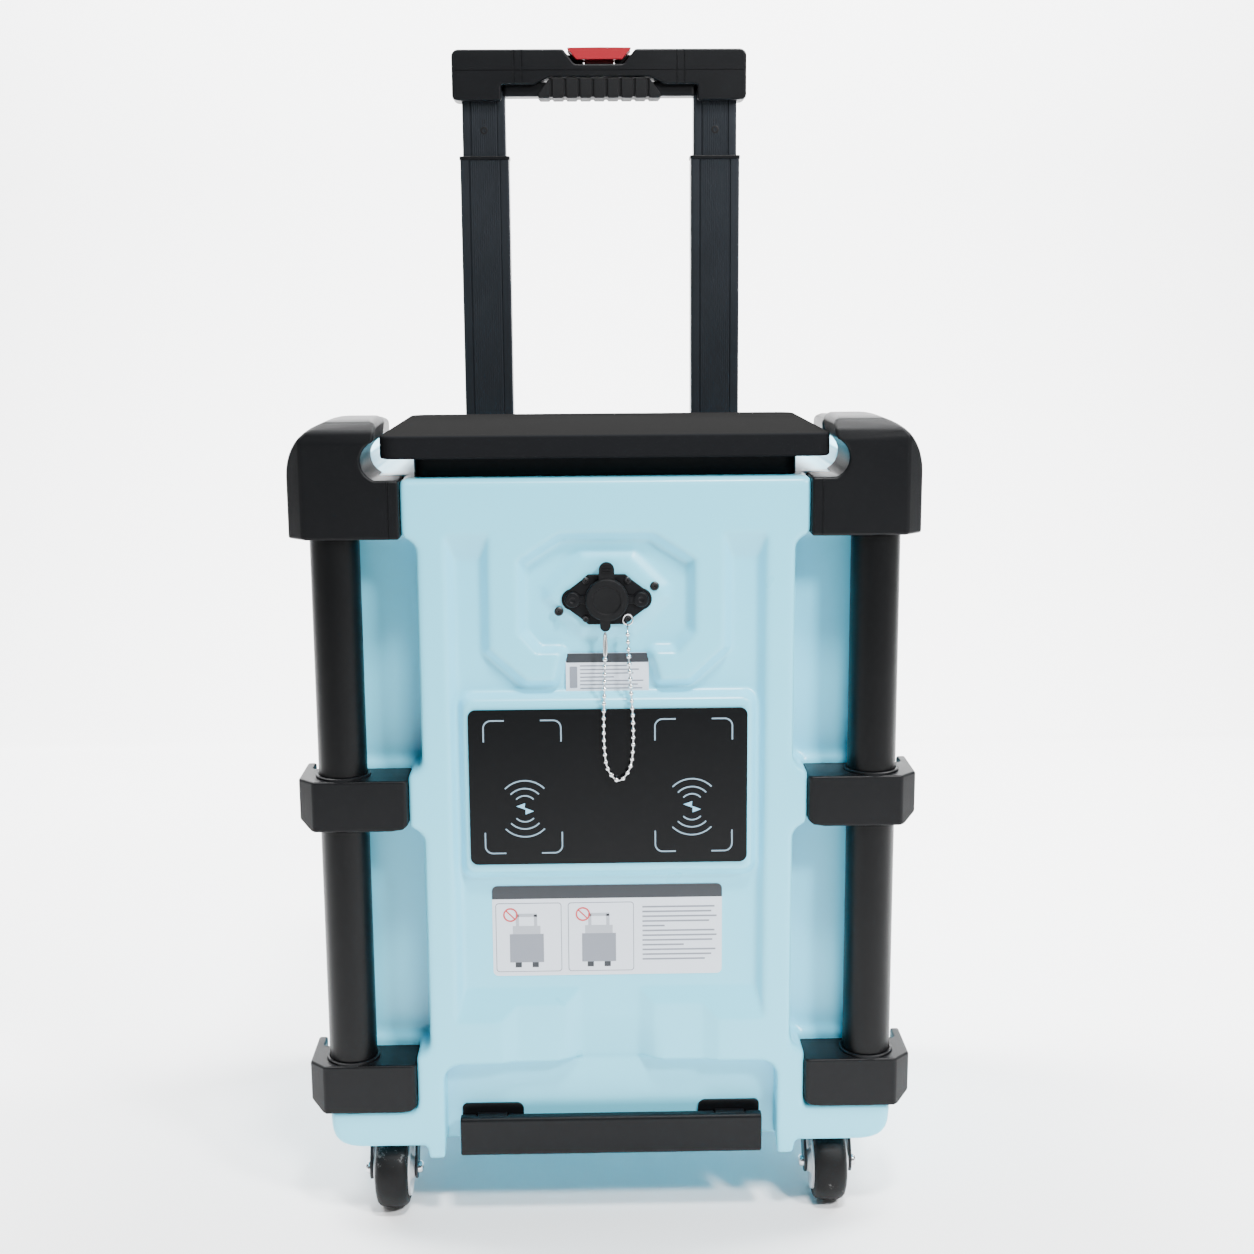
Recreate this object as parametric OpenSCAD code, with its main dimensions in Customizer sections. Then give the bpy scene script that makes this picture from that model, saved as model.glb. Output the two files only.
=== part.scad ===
// Wheeled party speaker: a moulded cabinet in a tubular roll cage, with a two-stage trolley
// handle, side-firing drivers, a phone-charging panel and four swivel casters.
// Frame: origin on the floor under the middle of the cabinet, X to the right as the service
// face (-Y) is looked at, Y towards the trolley handle, Z up.

/* [Cabinet] */
// Half of the cabinet's width across its side walls
body_half_w = 277; // [270:1:280]
// Half of the cabinet's depth between its two moulded faces
body_half_d = 196; // [190:1:196]
// Height of the cabinet's underside above the floor
body_bottom = 74; // [73:1:78]
// Height of the cabinet's top wall above the floor
body_top = 714; // [710:1:716]
// Half of the width of the raised middle panel between the corner channels
panel_half_w = 171; // [165:1:175]

/* [Roll cage] */
// Outer diameter of the cage tubes
cage_tube_d = 45; // [38:1:45]
// Distance of a cage tube's axis from the middle plane, along X
cage_tube_x = 246; // [240:0.5:247]
// Distance of a cage tube's axis from the middle plane, along Y
cage_tube_y = 174; // [173:0.5:175]
// Half of the overall width across the corner caps
cage_half_w = 286; // [280:1:290]
// Half of the overall depth across the corner caps
cage_half_d = 200; // [200:1:205]
// Height of the two corner caps on the service side
near_cap_top = 767; // [755:1:775]
// Height of the two corner caps on the trolley side
far_cap_top = 747; // [735:1:750]

/* [Trolley handle] */
// Distance of a trolley tube's centre from the middle plane
trolley_x = 120.4; // [118:0.2:122]
// Depth position of the trolley tubes' centre plane
trolley_y = 142; // [140:1:144]
// Height of the top of the grip, with the handle half drawn out
grip_top = 1125; // [1120:1:1130]
// Width of the grip
grip_w = 304.5; // [298:0.5:310]

/* [Charging panel and inlet] */
// Width of the charging panel
charger_w = 256; // [240:1:260]
// Height of the charging panel
charger_h = 147; // [140:1:150]
// Height of the inlet's centre above the floor
inlet_z = 604; // [598:1:610]

/* [Lift bar] */
// Width of the swinging lift bar
lift_bar_w = 288; // [270:1:300]

/* [Casters] */
// Diameter of a caster wheel
wheel_d = 75; // [72:1:75]
// Distance of a caster's swivel axis from the middle plane, along X
caster_x = 212; // [208:1:214]
// Distance of a caster's swivel axis from the middle plane, along Y
caster_y = 132; // [128:1:134]
// Trail of a caster wheel behind its swivel axis
caster_trail = 30; // [26:1:30]

/* [Hidden] */
$fn = 64;

body_colour = [0.745, 0.886, 0.925];
plastic_black = [0.13, 0.14, 0.15];
metal_black = [0.08, 0.08, 0.09];
gap = 0.3;

// Corner pockets of the cabinet
notch_x = 184;
notch_y = 150;
channel_y = 145;
channel_r = 12;
lower_channel = [169, 390];
upper_channel = [444, 661];
mid_clamp_z = [390, 438];
foot_clamp_z = [112, 160];
cap_z = 661;
cap_back_y = 120;
cap_inner_x = 182.5;
cage_tube_z = foot_clamp_z[0] + 0.2;
cage_tube_h = 700 - cage_tube_z;
near_cap_inner = 203.5;
far_cap_inner = 235;

// Hollow of the cabinet
hollow_middle = [158, 178, 165];
hollow_side = [258, 139, 104];
hollow_low = [158, 170, 104];
hollow_top = 700;

// Relief of the service face
relief_depth = 12;
dish_depth = 6;
sunken_half_w = 141;
sunken_z = [157, 655];
pad_half_w = 134;
pad_z = [346, 514];
charger_z = 356.5;
block_x = [37, 100];
block_top = 208;
recess_half_w = 158;
recess_z = 157;
recess_depth = 20;
leg_x = [158, 175];
leg_z = 63;

// Side baffles
baffle_x = 268;
grille_half = [122, 190];
grille_mid_z = 422;
woofer_z = 340;
woofer_r = 105;
tweeter_z = 535;

// Trolley tubes: width and depth of each stage
sleeve_out = [56, 30];
sleeve_in = [51.6, 25.6];
middle_out = [51, 25];
middle_in = [45.6, 20];
inner_out = [45, 19.4];
inner_in = [41, 15.4];
sleeve_z = [168, 717];
middle_z = [460, 1019];
inner_z = [520, 1084];
grip_bottom = 1074;
grip_d = 36;

// Lift bar: the pivot's place and the bar's section
bar_axis = [-186, 97.5];
bar_z = [65.5, 104.3];
bar_y = [-198, -180];
knuckle_x = [100, 128];

// Casters
axle_z = wheel_d / 2;
well_top = 96;
crown_z = [80, 85.7];

// Control panel on the trolley side
panel_y = 180;
panel_z = [548, 672];
volume_at = [-48, 632];
tone_at = [-48, 584];
button_z = 576;
button_x = [8, 34, 60];
display_at = [34, 630];

// Chain route: hand-chosen points from the cap's lug to the flange's eye
chain_d = 4.8;
chain_route = [[-1.5, -197.6, 574.9], [-2, -199, 552], [-3, -200.5, 520], [-3.8, -201, 489],
    [-3, -201.5, 462], [0.5, -201.5, 446], [9.5, -201.5, 437], [18.5, -201.5, 446],
    [22.3, -201.5, 462], [23, -201, 489], [21.4, -200.5, 520], [19.6, -199, 550],
    [18.5, -197.6, 576.4]];

// ---------- helpers ----------

// Extrudes an outline drawn in X and Z along Y, from y0 to y1
module along_y(y0, y1) {
    translate([0, y1, 0]) rotate([90, 0, 0]) linear_extrude(y1 - y0) children();
}

// Extrudes an outline drawn in Y and Z along X, from x0 to x1
module along_x(x0, x1) {
    translate([x0, 0, 0]) rotate([90, 0, 90]) linear_extrude(x1 - x0) children();
}

// A box between two corners
module block(low, high) {
    translate(low) cube(high - low);
}

// A rectangle about the origin with round corners
module round_rect(w, h, r) {
    square([w - 2 * r, h], center = true);
    square([w, h - 2 * r], center = true);
    for (x = [-1, 1], y = [-1, 1])
        translate([x * (w / 2 - r), y * (h / 2 - r)]) circle(r);
}

// Draws children at the +X, -Y corner and carries them to another corner
module at_corner(sx, sy) {
    mirror([sx < 0 ? 1 : 0, 0, 0]) mirror([0, sy > 0 ? 1 : 0, 0]) children();
}

// The same shape at all four corners
module four_corners() {
    for (sx = [-1, 1], sy = [-1, 1]) at_corner(sx, sy) children();
}

// The same shape on both sides of the middle plane
module both_sides() {
    for (s = [0, 1]) mirror([s, 0, 0]) children();
}

// A regular octagon given by half of its width across flats
module octagon(half_w) {
    circle(half_w / cos(22.5), $fn = 8);
}

// ---------- cabinet ----------

// Front view of the cabinet: straight sides that draw in towards the bottom
module cabinet_outline() {
    side = [[body_half_w - 17, body_top], [body_half_w, body_top - 26], [body_half_w, 300],
        [body_half_w - 4.5, 180], [body_half_w - 5, 108], [body_half_w - 8, 86],
        [body_half_w - 24, body_bottom]];
    polygon(concat(side, [for (i = [len(side) - 1 : -1 : 0]) [-side[i][0], side[i][1]]]));
}

// One corner channel between two clamps, seen from the front
module channel_outline(z_range) {
    span = z_range[1] - z_range[0];
    translate([panel_half_w + 75, (z_range[0] + z_range[1]) / 2])
        round_rect(150, span, channel_r);
}

// Pockets that one corner of the cabinet has for its cage tube, clamps and cap
module corner_pockets() {
    block([notch_x, -body_half_d - 5, foot_clamp_z[0]], [body_half_w + 5, -notch_y, body_top + 5]);
    along_y(-body_half_d - 5, -channel_y) channel_outline(lower_channel);
    along_y(-body_half_d - 5, -channel_y) channel_outline(upper_channel);
}

// Front view of the panel above the sunken area, with two arms that reach round the inlet
module panel_and_arms() {
    half = [[110, body_top], [110, 558], [75, 527], [44, 527], [38, 557], [61, 557], [77, 575],
        [77, 639], [39, 662]];
    polygon(concat(half, [for (i = [len(half) - 1 : -1 : 0]) [-half[i][0], half[i][1]]]));
}

// Front view of what stays raised: the panel with its arms, the charging pad and the low blocks
module raised_areas() {
    panel_and_arms();
    translate([0, (pad_z[0] + pad_z[1]) / 2]) round_rect(2 * pad_half_w, pad_z[1] - pad_z[0], 8);
    both_sides() translate([block_x[1], 0]) square([60, block_top - 10]);
}

// Front view of the pedestal that carries the inlet
module pedestal_outline() {
    polygon([for (x = [-1, 1], i = [0 : 3])
        let (j = x < 0 ? i : 3 - i, p = [[21, 572], [55, 603], [55, 616], [21, 646]][j]) [x * p[0], p[1]]]);
}

// Relief cut into the service face
module service_relief() {
    floor_y = -body_half_d + relief_depth;
    dish_y = -body_half_d + dish_depth;
    along_y(-body_half_d - 1, dish_y) difference() {
        translate([-sunken_half_w, sunken_z[0] - 5])
            square([2 * sunken_half_w, sunken_z[1] - sunken_z[0] + 5]);
        raised_areas();
    }
    along_y(-body_half_d - 1, floor_y) difference() {
        translate([-sunken_half_w, sunken_z[0] - 5])
            square([2 * sunken_half_w, sunken_z[1] - sunken_z[0] + 5]);
        raised_areas();
        pedestal_outline();
        both_sides() translate([block_x[0], 0]) square([block_x[1], block_top]);
    }
    along_y(-body_half_d - 1, -hollow_middle[1] + 1) translate([0, inlet_z]) circle(17);
    block([-118, -body_half_d - 1, charger_z + 10],
        [118, -hollow_middle[1] + 1, charger_z + charger_h - 10]);
}

// Recess for the lift bar, open at the bottom
module lift_bar_recess() {
    along_y(-body_half_d - 1, -body_half_d + recess_depth) difference() {
        translate([0, recess_z - 60]) round_rect(2 * recess_half_w, 120, 16);
        translate([-200, -50]) square([400, 50]);
    }
}

// Recess and driver holes of one side baffle
module side_baffle_cut() {
    along_x(baffle_x, body_half_w + 5) translate([0, grille_mid_z])
        round_rect(2 * grille_half[0] + 1, 2 * grille_half[1] + 1, 20);
    translate([hollow_side[0] - 2, 0, woofer_z]) rotate([0, 90, 0]) cylinder(r = 93, h = 30);
    translate([hollow_side[0] - 2, 0, tweeter_z]) rotate([0, 90, 0]) cylinder(r = 32, h = 30);
}

// Opening for the control panel on the trolley face
module control_opening() {
    mid_z = (panel_z[0] + panel_z[1]) / 2;
    span = panel_z[1] - panel_z[0];
    along_y(panel_y, body_half_d + 1) translate([0, mid_z]) round_rect(172, span, 8);
    along_y(hollow_middle[1] - 1, panel_y + 1) translate([0, mid_z]) round_rect(150, span - 20, 6);
}

module body_shell() {
    color(body_colour) difference() {
        union() {
            along_y(-body_half_d, body_half_d) cabinet_outline();
            both_sides() along_y(-cap_back_y + gap, cap_back_y - gap)
                polygon([[214, body_top - 1], [219, body_top + 19], [258, body_top + 19],
                    [body_half_w - 17, body_top - 1]]);
            four_corners() block([leg_x[0], -body_half_d, leg_z],
                [leg_x[1], -body_half_d + 10, body_bottom + 1]);
        }
        four_corners() corner_pockets();
        service_relief();
        lift_bar_recess();
        both_sides() side_baffle_cut();
        control_opening();
        block([-hollow_middle[0], -hollow_middle[1], hollow_middle[2]],
            [hollow_middle[0], hollow_middle[1], hollow_top]);
        block([-hollow_low[0], -hollow_low[1], hollow_low[2]],
            [hollow_low[0], hollow_low[1], hollow_top]);
        block([-hollow_side[0], -hollow_side[1], hollow_side[2]],
            [hollow_side[0], hollow_side[1], hollow_top]);
        both_sides() translate([trolley_x, trolley_y, body_top - 9])
            cube([sleeve_out[0] + 0.4, sleeve_out[1] + 0.4, 40], center = true);
        four_corners() translate([caster_x, -caster_y, body_bottom - 1])
            linear_extrude(well_top - body_bottom + 1) round_rect(80, 80, 6);
    }
}

// A low frame that stands the tray clear of the top wall
module tray_plinth() {
    color(plastic_black) translate([0, -36, body_top]) linear_extrude(18) difference() {
        round_rect(348, 272, 14);
        round_rect(328, 252, 6);
    }
}

module top_tray() {
    color([0.24, 0.24, 0.24]) translate([0, -42.5, body_top + 18]) linear_extrude(21)
        round_rect(404, 305, 16);
}

// ---------- roll cage ----------

module cage_tube() {
    color(metal_black) translate([cage_tube_x, -cage_tube_y, cage_tube_z]) difference() {
        cylinder(d = cage_tube_d, h = cage_tube_h);
        translate([0, 0, -1]) cylinder(d = cage_tube_d - 5, h = cage_tube_h + 2);
    }
}

// Plan view of a clamp: front face, chamfered outer corner and a tail along the side wall
module clamp_plan() {
    polygon([[notch_x + 0.2, -notch_y], [notch_x + 0.2, -cage_half_d], [cage_half_w - 15, -cage_half_d],
        [cage_half_w, -cage_half_d + 15], [cage_half_w, -notch_y + 22],
        [body_half_w + 0.2, -notch_y + 22], [body_half_w + 0.2, -notch_y]]);
}

// A clamp round one cage tube, with chamfered lower corners
module clamp(z_range) {
    z0 = z_range[0];
    z1 = z_range[1];
    color(plastic_black) difference() {
        intersection() {
            translate([0, 0, z0]) linear_extrude(z1 - z0) clamp_plan();
            along_y(-cage_half_d - 1, 0)
                polygon([[notch_x, z0 + 4], [notch_x + 4, z0], [cage_half_w - 9, z0],
                    [cage_half_w + 0.1, z0 + 9], [cage_half_w + 0.1, z1], [notch_x, z1]]);
        }
        translate([cage_tube_x, -cage_tube_y, z0 - 1]) cylinder(d = cage_tube_d + 0.2, h = z1 - z0 + 2);
    }
}

// Points along an arc, from one angle to another
function arc(centre, r, from, to, step) =
    [for (a = [from : step : to]) centre + r * [cos(a), sin(a)]];

// Front view of a corner cap: round outer shoulder and, on the service side, an inner edge
// that is hollowed out beside the tray
module cap_outline(top_z, inner_x, hollow) {
    shoulder = hollow ? 50 : 40;
    hollow_edge = hollow ? arc([inner_x - 4, body_top + 17], 18, 70, -60, -10) : [];
    polygon(concat([[cap_inner_x, cap_z], [cage_half_w, cap_z]],
        arc([cage_half_w - shoulder, top_z - shoulder], shoulder, 0, 90, 10),
        [[inner_x + 5, top_z], [inner_x, top_z - 5]], hollow_edge,
        [[inner_x + 2, body_top], [cap_inner_x, body_top]]));
}

// A corner cap: plan, front and side outlines cut one block, which is bored for the tube
module corner_cap(top_z, inner_x, hollow) {
    nose = 15;
    color(plastic_black) difference() {
        intersection() {
            along_y(-cage_half_d, -cap_back_y) cap_outline(top_z, inner_x, hollow);
            translate([0, 0, cap_z - 1]) linear_extrude(top_z - cap_z + 2)
                polygon([[cap_inner_x, -cage_half_d], [cage_half_w - nose, -cage_half_d],
                    [cage_half_w, -cage_half_d + nose], [cage_half_w, -cap_back_y],
                    [cap_inner_x, -cap_back_y]]);
            along_x(cap_inner_x - 1, cage_half_w + 1)
                polygon([[-cage_half_d, cap_z], [-cage_half_d, top_z - 22], [-cage_half_d + 3, top_z - 10],
                    [-cage_half_d + 11, top_z - 2], [-cage_half_d + 22, top_z], [-cap_back_y, top_z],
                    [-cap_back_y, cap_z]]);
        }
        block([0, -notch_y - gap / 3, 0], [body_half_w + gap / 3, 0, body_top + gap / 3]);
        block([0, -notch_y - 100, 0], [notch_x + 0.2, 0, body_top + gap / 3]);
        translate([cage_tube_x, -cage_tube_y, cap_z - 1])
            cylinder(d = cage_tube_d + 0.2, h = cage_tube_z + cage_tube_h + 2 - cap_z);
    }
}

// ---------- drivers ----------

// A perforated side grille, shown as rows of slots in a framed sheet
module grille() {
    color(metal_black) difference() {
        along_x(baffle_x + 5, baffle_x + 7.5) translate([0, grille_mid_z])
            round_rect(2 * grille_half[0], 2 * grille_half[1], 20);
        for (row = [0 : 21], side = [-1, 1])
            translate([baffle_x, side * 56 - 50, grille_mid_z - 168 + row * 16])
                cube([12, 100, 8]);
    }
}

// A woofer: mounting flange, basket and magnet, open in front for its cone
module woofer() {
    color(metal_black) translate([0, 0, woofer_z]) rotate([0, 90, 0]) rotate_extrude()
        polygon([[28, 167], [55, 167], [55, 195], [48, 200], [91, 262], [91, baffle_x + 0.1],
            [woofer_r, baffle_x + 0.1], [woofer_r, baffle_x + 4], [88, baffle_x + 4], [84, 264],
            [84, 256], [42, 202], [28, 202]]);
}

// A woofer cone with its dust cap and voice-coil former
module woofer_cone() {
    color([0.1, 0.1, 0.11]) translate([0, 0, woofer_z]) rotate([0, 90, 0]) rotate_extrude()
        polygon([[0, 236], [14, 234], [24, 228], [82, 262], [82, 264], [80.5, 264], [24, 231.5],
            [15, 238], [0, 240.5]]);
}

// A horn tweeter: flange, flared mouth and compression driver
module tweeter() {
    color(plastic_black) translate([0, 0, tweeter_z]) rotate([0, 90, 0]) difference() {
        union() {
            translate([0, 0, baffle_x + 0.1]) cylinder(r = 44, h = 4);
            translate([0, 0, 236]) cylinder(r = 31, h = baffle_x + 1 - 236);
            translate([0, 0, 205]) cylinder(r = 28, h = 32);
        }
        translate([0, 0, 240]) cylinder(r1 = 9, r2 = 30, h = 32.2);
    }
}

// ---------- electronics ----------

module amplifier_board() {
    color([0.1, 0.35, 0.2]) {
        block([-120, -174, 190], [120, -171, 330]);
        block([-70, -171, 215], [70, -146, 305]);
    }
}

module battery_pack() {
    color([0.15, 0.3, 0.6]) translate([0, 0, hollow_side[2]]) linear_extrude(90) round_rect(220, 130, 8);
}

module charging_panel() {
    color([0.07, 0.08, 0.09]) along_y(-body_half_d - 1.5, -body_half_d)
        translate([0, charger_z + charger_h / 2]) round_rect(charger_w, charger_h, 7);
}

module charging_coils() {
    color([0.72, 0.45, 0.2]) both_sides() translate([78.5, -body_half_d + 5, charger_z + 75])
        rotate([90, 0, 0]) difference() {
            cylinder(r = 26, h = 5);
            translate([0, 0, -1]) cylinder(r = 10, h = 5);
        }
}

// ---------- inlet ----------

// Outline of the inlet's flange: a square with cut corners between two round lobes
module flange_outline() {
    hull() {
        square([34, 46], center = true);
        square([45, 36], center = true);
        for (x = [-31, 31]) translate([x, 0]) circle(10);
    }
}

module inlet_flange() {
    face = -body_half_d + 6;
    color(plastic_black) difference() {
        union() {
            along_y(face - 3, face) translate([0, inlet_z]) flange_outline();
            along_y(face - 1, face + 20) translate([0, inlet_z]) circle(16.8);
            block([16, -cage_half_d + 1, inlet_z - 27.5], [21, face, inlet_z - 21]);
        }
        along_y(face - 4, face + 16) translate([0, inlet_z]) circle(14);
    }
}

module inlet_screws() {
    face = -body_half_d + 6 - 3;
    color(metal_black) {
        for (x = [-1, 1], z = [-1, 1])
            translate([x * 19, face, inlet_z + z * 18]) rotate([90, 0, 0]) cylinder(r = 2.6, h = 1.6);
        for (x = [-1, 1])
            translate([x * 43.5, face + 3, inlet_z + x * 11.5]) rotate([90, 0, 0]) cylinder(r = 3.8, h = 2);
    }
}

// The rubber cap, with a finger tab above, a chain lug below and a plug behind
module inlet_cap() {
    face = -body_half_d + 6 - 3 - 0.3;
    color([0.1, 0.1, 0.11]) {
        along_y(-cage_half_d, face) translate([0, inlet_z]) circle(19.5);
        along_y(-198.4, face) translate([0, inlet_z + 25]) square([14, 19], center = true);
        along_y(-cage_half_d, face - 2) translate([-1.5, inlet_z - 23]) square([9, 12], center = true);
        along_y(face - 1, face + 12) translate([0, inlet_z]) circle(13.6);
    }
}

function ring(i, n) = [for (k = [0 : 7])
    let (p = chain_route[i],
        d = chain_route[min(i + 1, n)] - chain_route[max(i - 1, 0)],
        t = i == 0 ? [0, 0, -1] : i == n ? [0, 0, 1] : d / norm(d),
        side = [t[2], 0, -t[0]] / norm([t[2], 0, -t[0]]),
        up = cross(t, side),
        a = k * 45 + 22.5)
    p + (side * cos(a) + up * sin(a)) * chain_d / 2];

// The chain that tethers the cap: a tube swept along its route
module cap_chain() {
    n = len(chain_route) - 1;
    points = [for (i = [0 : n]) each ring(i, n)];
    walls = [for (i = [0 : n - 1], k = [0 : 7])
        [i * 8 + k, (i + 1) * 8 + k, (i + 1) * 8 + (k + 1) % 8, i * 8 + (k + 1) % 8]];
    ends = [[for (k = [0 : 7]) k], [for (k = [7 : -1 : 0]) n * 8 + k]];
    color("silver") polyhedron(points, concat(walls, ends));
}

// ---------- trolley handle ----------

// A rectangular tube between two heights
module box_tube(out, inside, z_range) {
    translate([trolley_x, trolley_y, z_range[0]]) difference() {
        linear_extrude(z_range[1] - z_range[0]) square(out, center = true);
        translate([0, 0, -1]) linear_extrude(z_range[1] - z_range[0] + 2) square(inside, center = true);
    }
}

module trolley_sleeves() {
    color(plastic_black) both_sides() {
        box_tube(sleeve_out, sleeve_in, sleeve_z);
        translate([trolley_x, trolley_y, sleeve_z[0]]) linear_extrude(2) square(sleeve_out, center = true);
    }
}

module middle_tubes() {
    color(metal_black) both_sides() {
        box_tube(middle_out, middle_in, middle_z);
        box_tube([52.4, 26.4], middle_in, [middle_z[1] - 4, middle_z[1]]);
    }
}

module inner_tubes() {
    color(metal_black) both_sides() box_tube(inner_out, inner_in, inner_z);
}

// Front view of the grip: a bar between two deeper end blocks, notched for the release button
module grip_outline() {
    difference() {
        translate([-grip_w / 2, grip_bottom]) square([grip_w, grip_top - grip_bottom]);
        translate([-102, grip_bottom - 1]) square([204, 16.5]);
        polygon([[-72, 1089], [-51, 1097.4], [51, 1097.4], [72, 1089]]);
        polygon([[-38, grip_top + 1], [-25.5, grip_top - 14.8], [25.5, grip_top - 14.8], [38, grip_top + 1]]);
    }
}

module grip_shell() {
    color(plastic_black) difference() {
        union() {
            along_y(trolley_y - grip_d / 2, trolley_y + grip_d / 2) grip_outline();
            both_sides() block([67, trolley_y - 12, 1078.5], [103, trolley_y + 12, 1091]);
        }
        both_sides() translate([trolley_x, trolley_y, grip_bottom - 1])
            linear_extrude(inner_z[1] - grip_bottom + 1) square(inner_out + [0.2, 0.2], center = true);
        translate([0, trolley_y, grip_top - 19]) linear_extrude(30) square([32, 12], center = true);
    }
}

module grip_pad() {
    color([0.09, 0.09, 0.1]) along_y(trolley_y - 17, trolley_y + 17)
        polygon([[-66, 1076], [-50.5, 1097.2], [50.5, 1097.2], [66, 1076]]);
}

// The release button, a wedge that sinks into the grip with a stem under it
module release_button() {
    color([0.84, 0.12, 0.18]) {
        along_y(trolley_y - 17.5, trolley_y + 17.5)
            polygon([[-33.2, grip_top + 1.5], [-24, grip_top - 10.2], [24, grip_top - 10.2],
                [33.2, grip_top + 1.5]]);
        translate([0, trolley_y, grip_top - 13.5]) linear_extrude(7) square([30, 10], center = true);
    }
}

// ---------- lift bar ----------

module lift_bar() {
    half = lift_bar_w / 2;
    color(plastic_black) difference() {
        along_x(-half, half) polygon([[bar_y[0] + 3, bar_z[0]], [bar_y[1] - 3, bar_z[0]],
            [bar_y[1], bar_z[0] + 3], [bar_y[1], bar_z[1] - 6], [bar_y[1] - 8, bar_z[1]],
            [bar_y[0] + 3, bar_z[1]], [bar_y[0], bar_z[1] - 3], [bar_y[0], bar_z[0] + 3]]);
        both_sides() block([knuckle_x[0] - 1, bar_axis[0] - 6.3, bar_axis[1] - 8],
            [knuckle_x[1] + 1, bar_y[1] + 1, bar_z[1] + 1]);
        translate([-half + 6, bar_axis[0], bar_axis[1]]) rotate([0, 90, 0])
            cylinder(r = 2.55, h = lift_bar_w - 12);
    }
}

// The two brackets that carry the lift bar, each with a knuckle and its pin
module lift_bar_brackets() {
    back = -body_half_d + recess_depth;
    color(plastic_black) both_sides() {
        block([84, back - 2.5, 76], [143, back, 110.5]);
        block([knuckle_x[0], bar_axis[0], bar_axis[1] - 4], [knuckle_x[1], back - 2, bar_axis[1] + 4]);
        translate([knuckle_x[0], bar_axis[0], bar_axis[1]]) rotate([0, 90, 0])
            cylinder(r = 5.4, h = knuckle_x[1] - knuckle_x[0]);
        translate([knuckle_x[0] - 10, bar_axis[0], bar_axis[1]]) rotate([0, 90, 0])
            cylinder(r = 2.5, h = knuckle_x[1] - knuckle_x[0] + 18);
    }
}

// ---------- casters ----------

module caster_plates() {
    color("silver") four_corners() translate([caster_x, -caster_y, 0]) difference() {
        union() {
            translate([0, 0, well_top - 4]) linear_extrude(4) round_rect(62, 62, 6);
            translate([0, 0, crown_z[1] + 0.3]) cylinder(r = 21, h = well_top - 4 - crown_z[1]);
        }
        translate([0, 0, crown_z[1] - 1]) cylinder(r = 5.05, h = 7);
    }
}

// A swivel fork with its kingpin, axle and axle nuts; the wheel trails towards -Y
module caster_fork() {
    color([0.16, 0.16, 0.17]) {
        translate([0, 0, crown_z[0]]) cylinder(r = 24, h = crown_z[1] - crown_z[0]);
        translate([0, 0, crown_z[1] - 1]) cylinder(r = 5, h = 6);
        for (s = [0, 1]) mirror([s, 0, 0]) {
            along_x(20.6, 23) polygon([[-20, crown_z[1]], [12, crown_z[1]], [12, crown_z[0] - 4],
                [-caster_trail + 11, axle_z - 7], [-caster_trail, axle_z - 11],
                [-caster_trail - 10, axle_z - 4], [-caster_trail - 10, axle_z + 6],
                [-23, crown_z[0] - 6]]);
            translate([23, -caster_trail, axle_z]) rotate([0, 90, 0]) cylinder(r = 6, h = 5.5);
        }
        translate([-24, -caster_trail, axle_z]) rotate([0, 90, 0]) cylinder(r = 4, h = 48);
    }
}

// A caster wheel: round-shouldered tyre on a wider hub, bored for the axle
module caster_wheel() {
    r = wheel_d / 2;
    color([0.12, 0.12, 0.12]) translate([0, -caster_trail, axle_z]) rotate([0, 90, 0])
        rotate_extrude() polygon([[4.05, -20], [10, -20], [12, -17], [24, -17], [25, -16], [r - 7, -16.2],
            [r - 3, -14], [r - 0.8, -9], [r, -4], [r, 4], [r - 0.8, 9], [r - 3, 14], [r - 7, 16.2],
            [25, 16], [24, 17], [12, 17], [10, 20], [4.05, 20]]);
}

// Places a caster piece at one corner; all four casters trail the same way
module at_caster(sx, sy) {
    translate([sx * caster_x, sy * caster_y, 0]) children();
}

// ---------- controls ----------

module control_panel() {
    mid_z = (panel_z[0] + panel_z[1]) / 2;
    color(plastic_black) difference() {
        along_y(panel_y + 0.1, panel_y + 3) translate([0, mid_z])
            round_rect(171.4, panel_z[1] - panel_z[0] - 0.6, 7.7);
        for (at = [volume_at, tone_at])
            along_y(panel_y - 1, panel_y + 4) translate(at) circle(3.05);
        for (x = button_x)
            along_y(panel_y - 1, panel_y + 4) translate([x, button_z]) circle(8.1);
    }
}

module display_window() {
    color([0.05, 0.06, 0.09]) along_y(panel_y + 3, panel_y + 4.2) translate(display_at)
        round_rect(72, 30, 4);
}

// A knob with its shaft through the panel
module knob(at, r) {
    color(plastic_black) {
        along_y(panel_y + 3.3, panel_y + 15) translate(at) circle(r);
        along_y(panel_y - 6, panel_y + 4) translate(at) circle(3);
    }
}

// A round push button that stands proud of the panel
module push_button(x) {
    color([0.3, 0.3, 0.32]) along_y(panel_y - 1, panel_y + 6) translate([x, button_z]) circle(7.7);
}

// ---------- assembly ----------

body_shell();
top_tray();
tray_plinth();
at_corner(-1, -1) corner_cap(near_cap_top, near_cap_inner, true);  // cap_service_left
at_corner(1, -1) corner_cap(near_cap_top, near_cap_inner, true);  // cap_service_right
at_corner(-1, 1) corner_cap(far_cap_top, far_cap_inner, false);  // cap_trolley_left
at_corner(1, 1) corner_cap(far_cap_top, far_cap_inner, false);  // cap_trolley_right
at_corner(-1, -1) cage_tube();  // tube_service_left
at_corner(1, -1) cage_tube();  // tube_service_right
at_corner(-1, 1) cage_tube();  // tube_trolley_left
at_corner(1, 1) cage_tube();  // tube_trolley_right
at_corner(-1, -1) clamp(mid_clamp_z);  // mid_clamp_service_left
at_corner(1, -1) clamp(mid_clamp_z);  // mid_clamp_service_right
at_corner(-1, 1) clamp(mid_clamp_z);  // mid_clamp_trolley_left
at_corner(1, 1) clamp(mid_clamp_z);  // mid_clamp_trolley_right
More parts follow.
